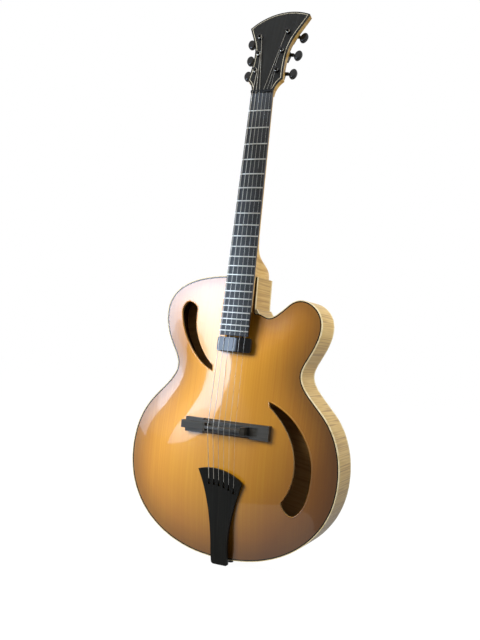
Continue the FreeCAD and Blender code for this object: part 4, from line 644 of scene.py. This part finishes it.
def lit_window(tree, place, strength, low_share, haze):
    """A bright window with a bluish sky, dimmer towards its lower end, above a wall that dims downwards."""
    spot = add(tree, "ShaderNodeSeparateXYZ", {"Vector": place.outputs["Object"]}).outputs["Y"]
    glow = add(tree, "ShaderNodeMapRange", {"Value": spot, "From Min": SILL, "From Max": WINDOW_TOP,
                                            "To Min": strength * low_share, "To Max": strength}).outputs[0]
    wall = add(tree, "ShaderNodeMapRange", {"Value": spot, "From Min": WALL_FOOT, "From Max": SILL,
                                            "To Min": 1.0, "To Max": haze}).outputs[0]
    above = add(tree, "ShaderNodeMath", {0: spot, 1: SILL}, operation="GREATER_THAN").outputs[0]
    level = add(tree, "ShaderNodeMix", {FACTOR: above, FIRST_VALUE: wall, SECOND_VALUE: glow}).outputs[0]
    return {"Base Color": linear("000000"), "Specular IOR Level": 0.0, "Emission Color": linear("C8DEFA"),
            "Emission Strength": level}


def black_velvet(tree, place, gleam):
    """Black velvet with a faint gleam, thinning out at its lower end and along its lower left edge."""
    spot = add(tree, "ShaderNodeSeparateXYZ", {"Vector": place.outputs["Object"]})
    across, height = spot.outputs["X"], spot.outputs["Z"]
    edges = [add(tree, "ShaderNodeMath", {0: height, 1: lean, 2: foot}, operation="MULTIPLY_ADD").outputs[0]
             for lean, foot in (FLAG_LOWER_EDGE, FLAG_UPPER_EDGE)]
    edge = add(tree, "ShaderNodeMath", {0: edges[0], 1: edges[1]}, operation="MINIMUM").outputs[0]
    past = add(tree, "ShaderNodeMath", {0: across, 1: edge}, operation="SUBTRACT").outputs[0]
    blur = add(tree, "ShaderNodeMapRange", {"Value": height, "From Min": BLURRED_HEIGHT,
                                            "From Max": SHARP_HEIGHT, "To Min": WIDE_BLUR,
                                            "To Max": NARROW_BLUR}).outputs[0]
    cover = add(tree, "ShaderNodeMapRange", {"Value": past, "From Max": blur}).outputs[0]
    fade = add(tree, "ShaderNodeMapRange", {"Value": height, "From Min": FLAG_FOOT,
                                            "From Max": FLAG_SOLID}).outputs[0]
    solid = add(tree, "ShaderNodeMath", {0: cover, 1: fade}, operation="MULTIPLY").outputs[0]
    return {"Base Color": linear("000000"), "Roughness": 1.0, "Specular IOR Level": 0.0, "Alpha": solid,
            "Emission Color": linear("FFFFFF"), "Emission Strength": gleam}


def flag_edge(height):
    """The flag's left edge at a height."""
    return min(lean * height + foot for lean, foot in (FLAG_LOWER_EDGE, FLAG_UPPER_EDGE))


window_glow = material_of("window_glow", lit_window, strength=21.0, low_share=0.5, haze=7.0)
flag_velvet = material_of("flag_velvet", black_velvet, gleam=0.35)
reflected_card("window_card", [(-WINDOW_RIGHT, WALL_FOOT, 0.0), (WINDOW_RIGHT, WALL_FOOT, 0.0),
                               (WINDOW_RIGHT, WINDOW_TOP, 0.0), (-WINDOW_RIGHT, WINDOW_TOP, 0.0)],
               window_glow, facing_body(bearing=-31.8, rise=17.0, distance=2.6, roll=19.6))
reflected_card("dark_flag", [(flag_edge(FLAG_FOOT), FLAG_Y, FLAG_FOOT), (FLAG_RIGHT, FLAG_Y, FLAG_FOOT),
                             (FLAG_RIGHT, FLAG_Y, FLAG_TOP), (flag_edge(FLAG_TOP), FLAG_Y, FLAG_TOP),
                             (flag_edge(FLAG_BEND), FLAG_Y, FLAG_BEND)],
               flag_velvet, Matrix.Identity(4))

# The room is white to the eye and in gloss, and gives this share of that as light
ROOM_LIGHT = 0.33
world = bpy.data.worlds.new("white_studio")
world.use_nodes = True
bpy.context.scene.world = world
sky = world.node_tree
sky.nodes.clear()
sky_rays = add(sky, "ShaderNodeLightPath").outputs
seen = add(sky, "ShaderNodeMath", {0: sky_rays["Is Camera Ray"], 1: sky_rays["Is Glossy Ray"]},
           operation="MAXIMUM").outputs[0]
level = add(sky, "ShaderNodeMapRange", {"Value": seen, "To Min": ROOM_LIGHT, "To Max": 1.0}).outputs[0]
light = add(sky, "ShaderNodeBackground", {"Color": linear("FFFFFF"), "Strength": level})
add(sky, "ShaderNodeOutputWorld", {"Surface": light.outputs["Background"]})


PAPER = "484848"
MIRRORED_SHARE = 0.7
FLOOR_HALF = 6.0
FLOOR_GAP = 0.5 * MM


def floor_paper(tree, place):
    """Matt grey paper that looks white to the eye, a little dimmer in gloss, with a soft shadow on it."""
    white = 1.0 - linear(PAPER)[0] * ROOM_LIGHT
    rays = add(tree, "ShaderNodeLightPath").outputs
    mirrored = add(tree, "ShaderNodeMath", {0: rays["Is Glossy Ray"], 1: MIRRORED_SHARE},
                   operation="MULTIPLY").outputs[0]
    seen = add(tree, "ShaderNodeMath", {0: rays["Is Camera Ray"], 1: mirrored},
               operation="MAXIMUM").outputs[0]
    lift = add(tree, "ShaderNodeMath", {0: seen, 1: white}, operation="MULTIPLY").outputs[0]
    return {"Base Color": linear(PAPER), "Roughness": 0.9, "Specular IOR Level": 0.0,
            "Emission Color": linear("FFFFFF"), "Emission Strength": lift}


floor_z = cad_box[0][2] - FLOOR_GAP
floor_corners = [(-FLOOR_HALF, -FLOOR_HALF, floor_z), (FLOOR_HALF, -FLOOR_HALF, floor_z),
                 (FLOOR_HALF, FLOOR_HALF, floor_z), (-FLOOR_HALF, FLOOR_HALF, floor_z)]
floor_mesh = bpy.data.meshes.new("floor")
floor_mesh.from_pydata(floor_corners, [], [(0, 1, 2, 3)])
floor_mesh.materials.append(material_of("white_floor_paper", floor_paper))
floor = put("floor", floor_mesh)
bpy.context.scene.view_settings.view_transform = "Standard"
